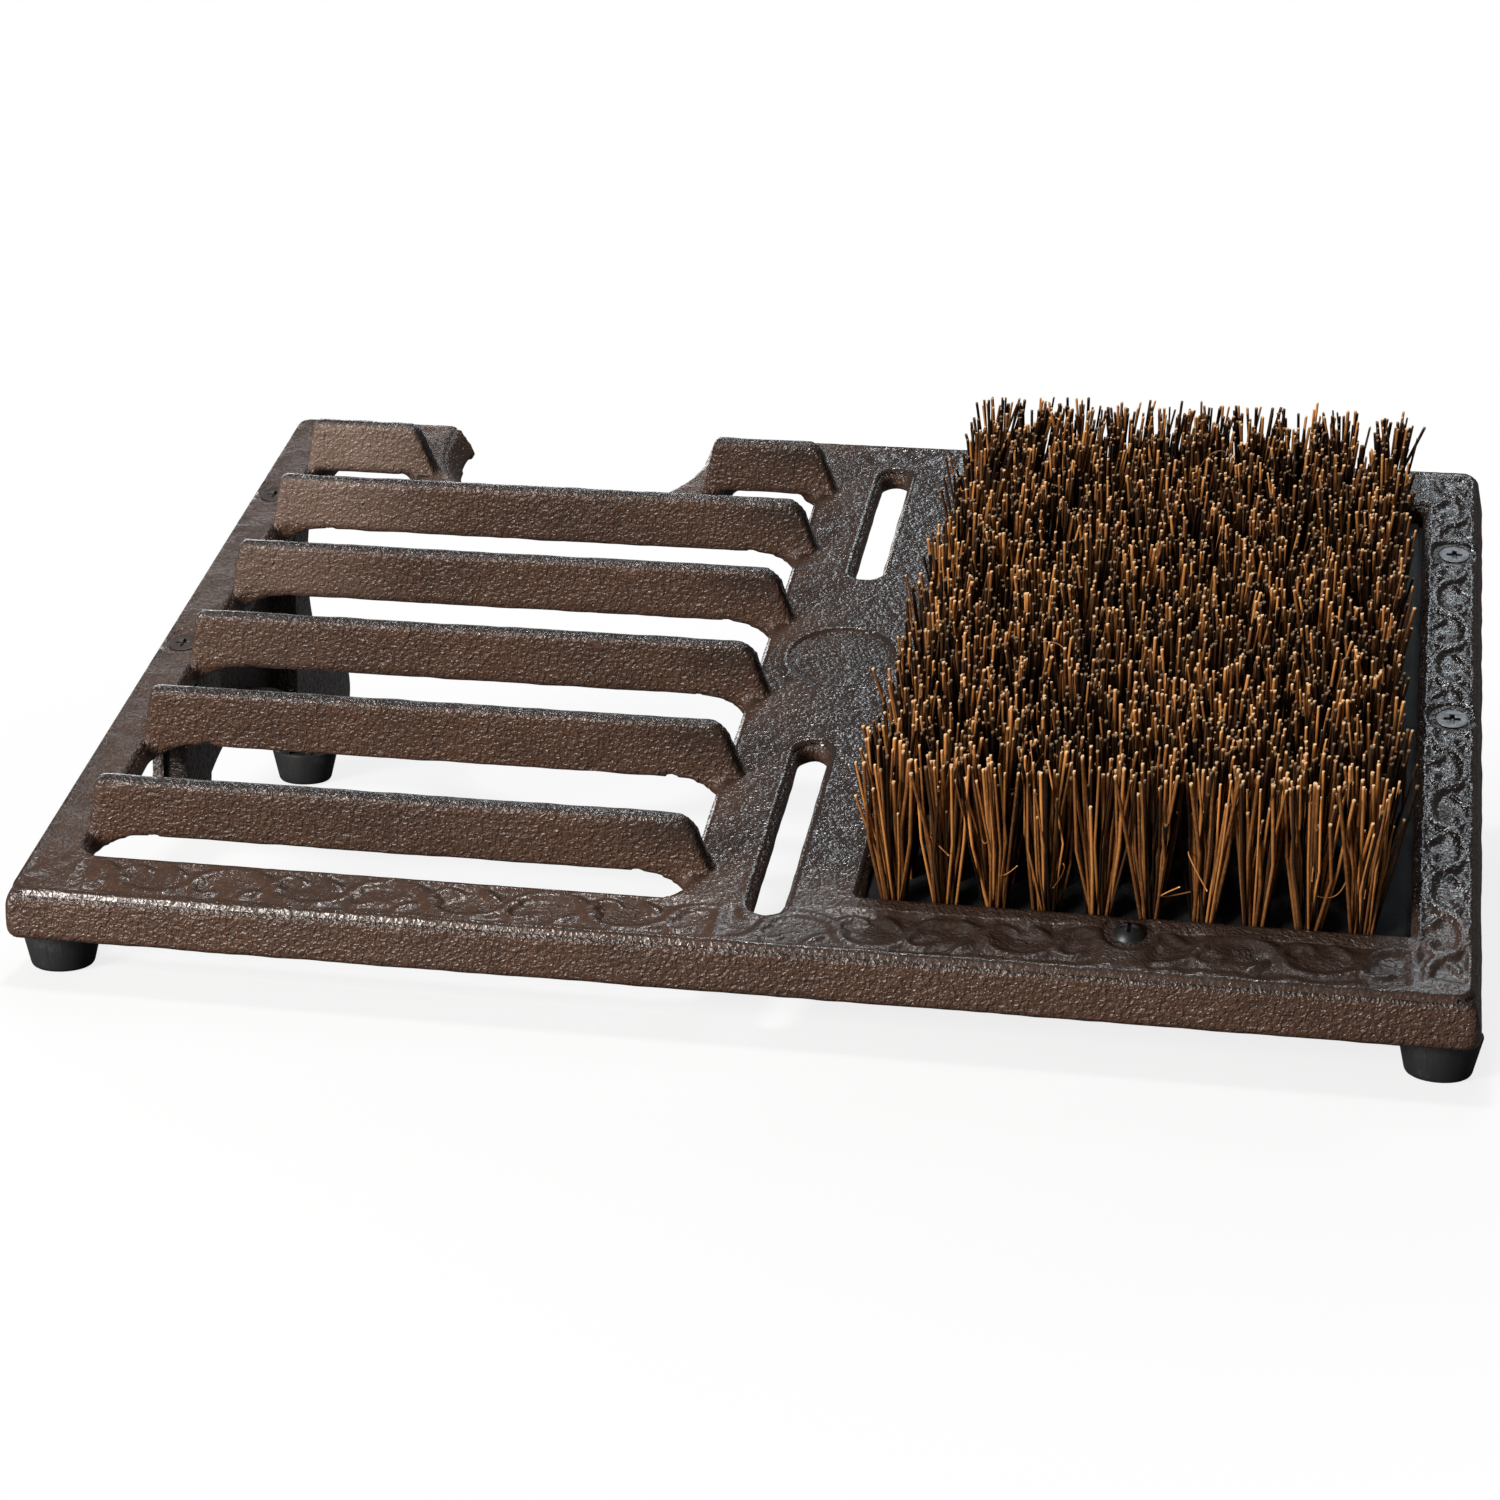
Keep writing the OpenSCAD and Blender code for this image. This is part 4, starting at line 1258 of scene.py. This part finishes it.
@dataclass
class Screws:
    """The screws on the plate's top."""

    edge_mm: float = 0.16

    def build(self, zinc: bpy.types.Material, brown: bpy.types.Material, black: bpy.types.Material) -> None:
        """Builds and dresses the leg screws and the brush screws."""
        sets = (("leg_screw_right_front", zinc, Slot.ZINC), ("leg_screw_right_rear", zinc, Slot.ZINC),
                ("leg_screw_left_front", brown, Slot.BROWN), ("leg_screw_left_rear", brown, Slot.BROWN),
                ("brush_screw_front", black, Slot.BLACK), ("brush_screw_rear", black, Slot.BLACK))
        for node, material, slot in sets:
            screw = Bench.copy_nodes(f"cross_{node}", [node])
            Bench.bevelled(screw, self.edge_mm)
            Bench.wear(screw, 0.05, 0.5, rounds=0)
            Bench.finish(screw, material, slot, node)


# Studio


@dataclass(frozen=True)
class Lamp:
    """A soft square lamp that points at the object."""

    name: str
    place: Triple
    size: float
    watts: float
    tint: Triple = (1.0, 1.0, 1.0)
    aim: Triple = (0.0, 0.0, 0.05)

    def hang(self) -> None:
        """Puts the lamp in its place."""
        data = bpy.data.lights.new(self.name, "AREA")
        data.size, data.energy, data.color = self.size, self.watts, self.tint
        obj = bpy.data.objects.new(self.name, data)
        bpy.context.scene.collection.objects.link(obj)
        turn = (Vector(self.aim) - Vector(self.place)).to_track_quat("-Z", "Y")
        obj.matrix_world = Matrix.Translation(self.place) @ turn.to_matrix().to_4x4()


@dataclass
class Studio:
    """Camera, floor, lamps and world."""

    eye: Triple = (0.148848, -0.865676, 0.269511)
    aim: Triple = (-0.179192, 0.951697, -0.249323)
    roll: float = 1.0124
    lens: float = 77.43
    sensor: float = 36.0
    clip: Pair = (0.01, 50.0)
    floor_m: float = 30.0
    floor_dim: Triple = (0.12, 0.12, 0.12)
    floor_seen: Triple = (0.70, 0.70, 0.70)
    floor_fade: Pair = (0.20, 0.42)
    glow: float = 0.80
    room: float = 0.17
    gloss: float = 0.10
    lamps: tuple[Lamp, ...] = (
        Lamp("key", (-0.85, -1.20, 0.42), 0.5, 36.5, (1.0, 0.97, 0.93)),
        Lamp("sheen", (0.24, 1.20, 1.50), 0.6, 8.5, (0.84, 0.93, 1.0)),
        Lamp("edge", (-0.12, 0.06, 1.45), 0.22, 10.0),
        Lamp("back", (-0.85, 1.60, 0.45), 0.9, 12.0),
    )

    def camera(self) -> None:
        """Makes the camera at the photograph's viewing angle."""
        data = bpy.data.cameras.new("camera")
        data.sensor_width, data.lens = self.sensor, self.lens
        data.clip_start, data.clip_end = self.clip
        obj = bpy.data.objects.new("camera", data)
        bpy.context.scene.collection.objects.link(obj)
        aim = Vector(self.aim).normalized()
        level = aim.cross(Vector((0, 0, 1))).normalized()
        up = level.cross(aim)
        turn = math.radians(self.roll)
        right = level * math.cos(turn) + up * math.sin(turn)
        up = up * math.cos(turn) - level * math.sin(turn)
        obj.matrix_world = Matrix.Translation(self.eye) @ Matrix((right, up, -aim)).transposed().to_4x4()
        bpy.context.scene.camera = obj

    def floor(self) -> None:
        """Makes a plain pale floor that keeps the shadow."""
        Bench.clear()
        bpy.ops.mesh.primitive_plane_add(size=self.floor_m)
        floor = bpy.context.object
        floor.name = "floor"
        g = Graph("pale_floor")
        seen = g.node("ShaderNodeLightPath", out="Is Camera Ray")
        g.set(Base_Color=g.mix(seen, self.floor_dim, self.floor_seen), Roughness=0.9, Specular_IOR_Level=0.1)
        glow = g.node("ShaderNodeEmission", None, {"Color": (1.0, 1.0, 1.0, 1.0)})
        away = g.node("ShaderNodeVectorMath", {"operation": "LENGTH"}, {0: g.place()}, out="Value")
        share = self.glow + (1.0 - self.glow) * away.step(*self.floor_fade)
        matt = Sock(g, g.shader.outputs[0])
        mixed = g.node("ShaderNodeMixShader", None, {0: share * seen, 1: matt, 2: glow})
        g.feed(g.output.inputs["Surface"], mixed)
        floor.data.materials.append(g.material)

    def world(self) -> None:
        """Makes a world that looks white and lights the object at a plain level."""
        world = bpy.data.worlds.new("studio")
        world.use_nodes = True
        g = Nodes(world.node_tree)
        level: Sock | float = self.room
        for ray, strength in (("Glossy", self.gloss), ("Camera", 1.0), ("Transmission", 1.0)):
            share = g.node("ShaderNodeLightPath", out=f"Is {ray} Ray")
            level = g.node("ShaderNodeMix", None, {"Factor": share, "A": level, "B": strength}, out="Result")
        background = g.tree.nodes["Background"]
        g.feed(background.inputs["Strength"], level)
        g.feed(background.inputs["Color"], (1.0, 1.0, 1.0, 1.0))
        bpy.context.scene.world = world

    def build(self) -> None:
        """Builds the whole studio."""
        self.camera()
        self.floor()
        self.world()
        for lamp in self.lamps:
            lamp.hang()
        bpy.context.scene.view_settings.view_transform = "Standard"


def main() -> None:
    logging.basicConfig(level=logging.INFO, format="%(message)s")
    iron = HammeredIron().make()
    golden = CutFibre("golden_fibre", light=(0.53, 0.220, 0.060), deep=(0.105, 0.038, 0.011),
                      tip=(0.78, 0.52, 0.28), gloss=0.22).make()
    dark = CutFibre("dark_fibre", light=(0.055, 0.026, 0.012), deep=(0.005, 0.003, 0.002),
                    tip=(0.25, 0.15, 0.08), gloss=0.08).make()
    zinc = ScrewMetal("bright_zinc", (0.13, 0.133, 0.138), (0.26, 0.265, 0.27), 0.75, 0.36).make()
    brown = ScrewMetal("brown_paint", (0.034, 0.024, 0.020), (0.16, 0.13, 0.115), 0.2, 0.42).make()
    black = ScrewMetal("black_oxide", (0.018, 0.018, 0.020), (0.20, 0.20, 0.21), 0.5, 0.30).make()
    Casting().build(iron)
    Relief().build(HammeredIron("relief_iron", grain_h=0.95).make())
    shaded = HammeredIron("shaded_iron", brown=(0.036, 0.023, 0.018), dark=(0.010, 0.007, 0.006),
                          painted_light=(0.08, 0.06, 0.05)).make()
    for side in Side:
        Leg(side).build(shaded)
    Brush().build(BlackBoard().make(), (golden, dark))
    Feet().build(MouldedRubber().make(), zinc)
    Screws().build(zinc, brown, black)
    Studio().build()
    bpy.context.view_layer.update()


if __name__ == "__main__":
    main()
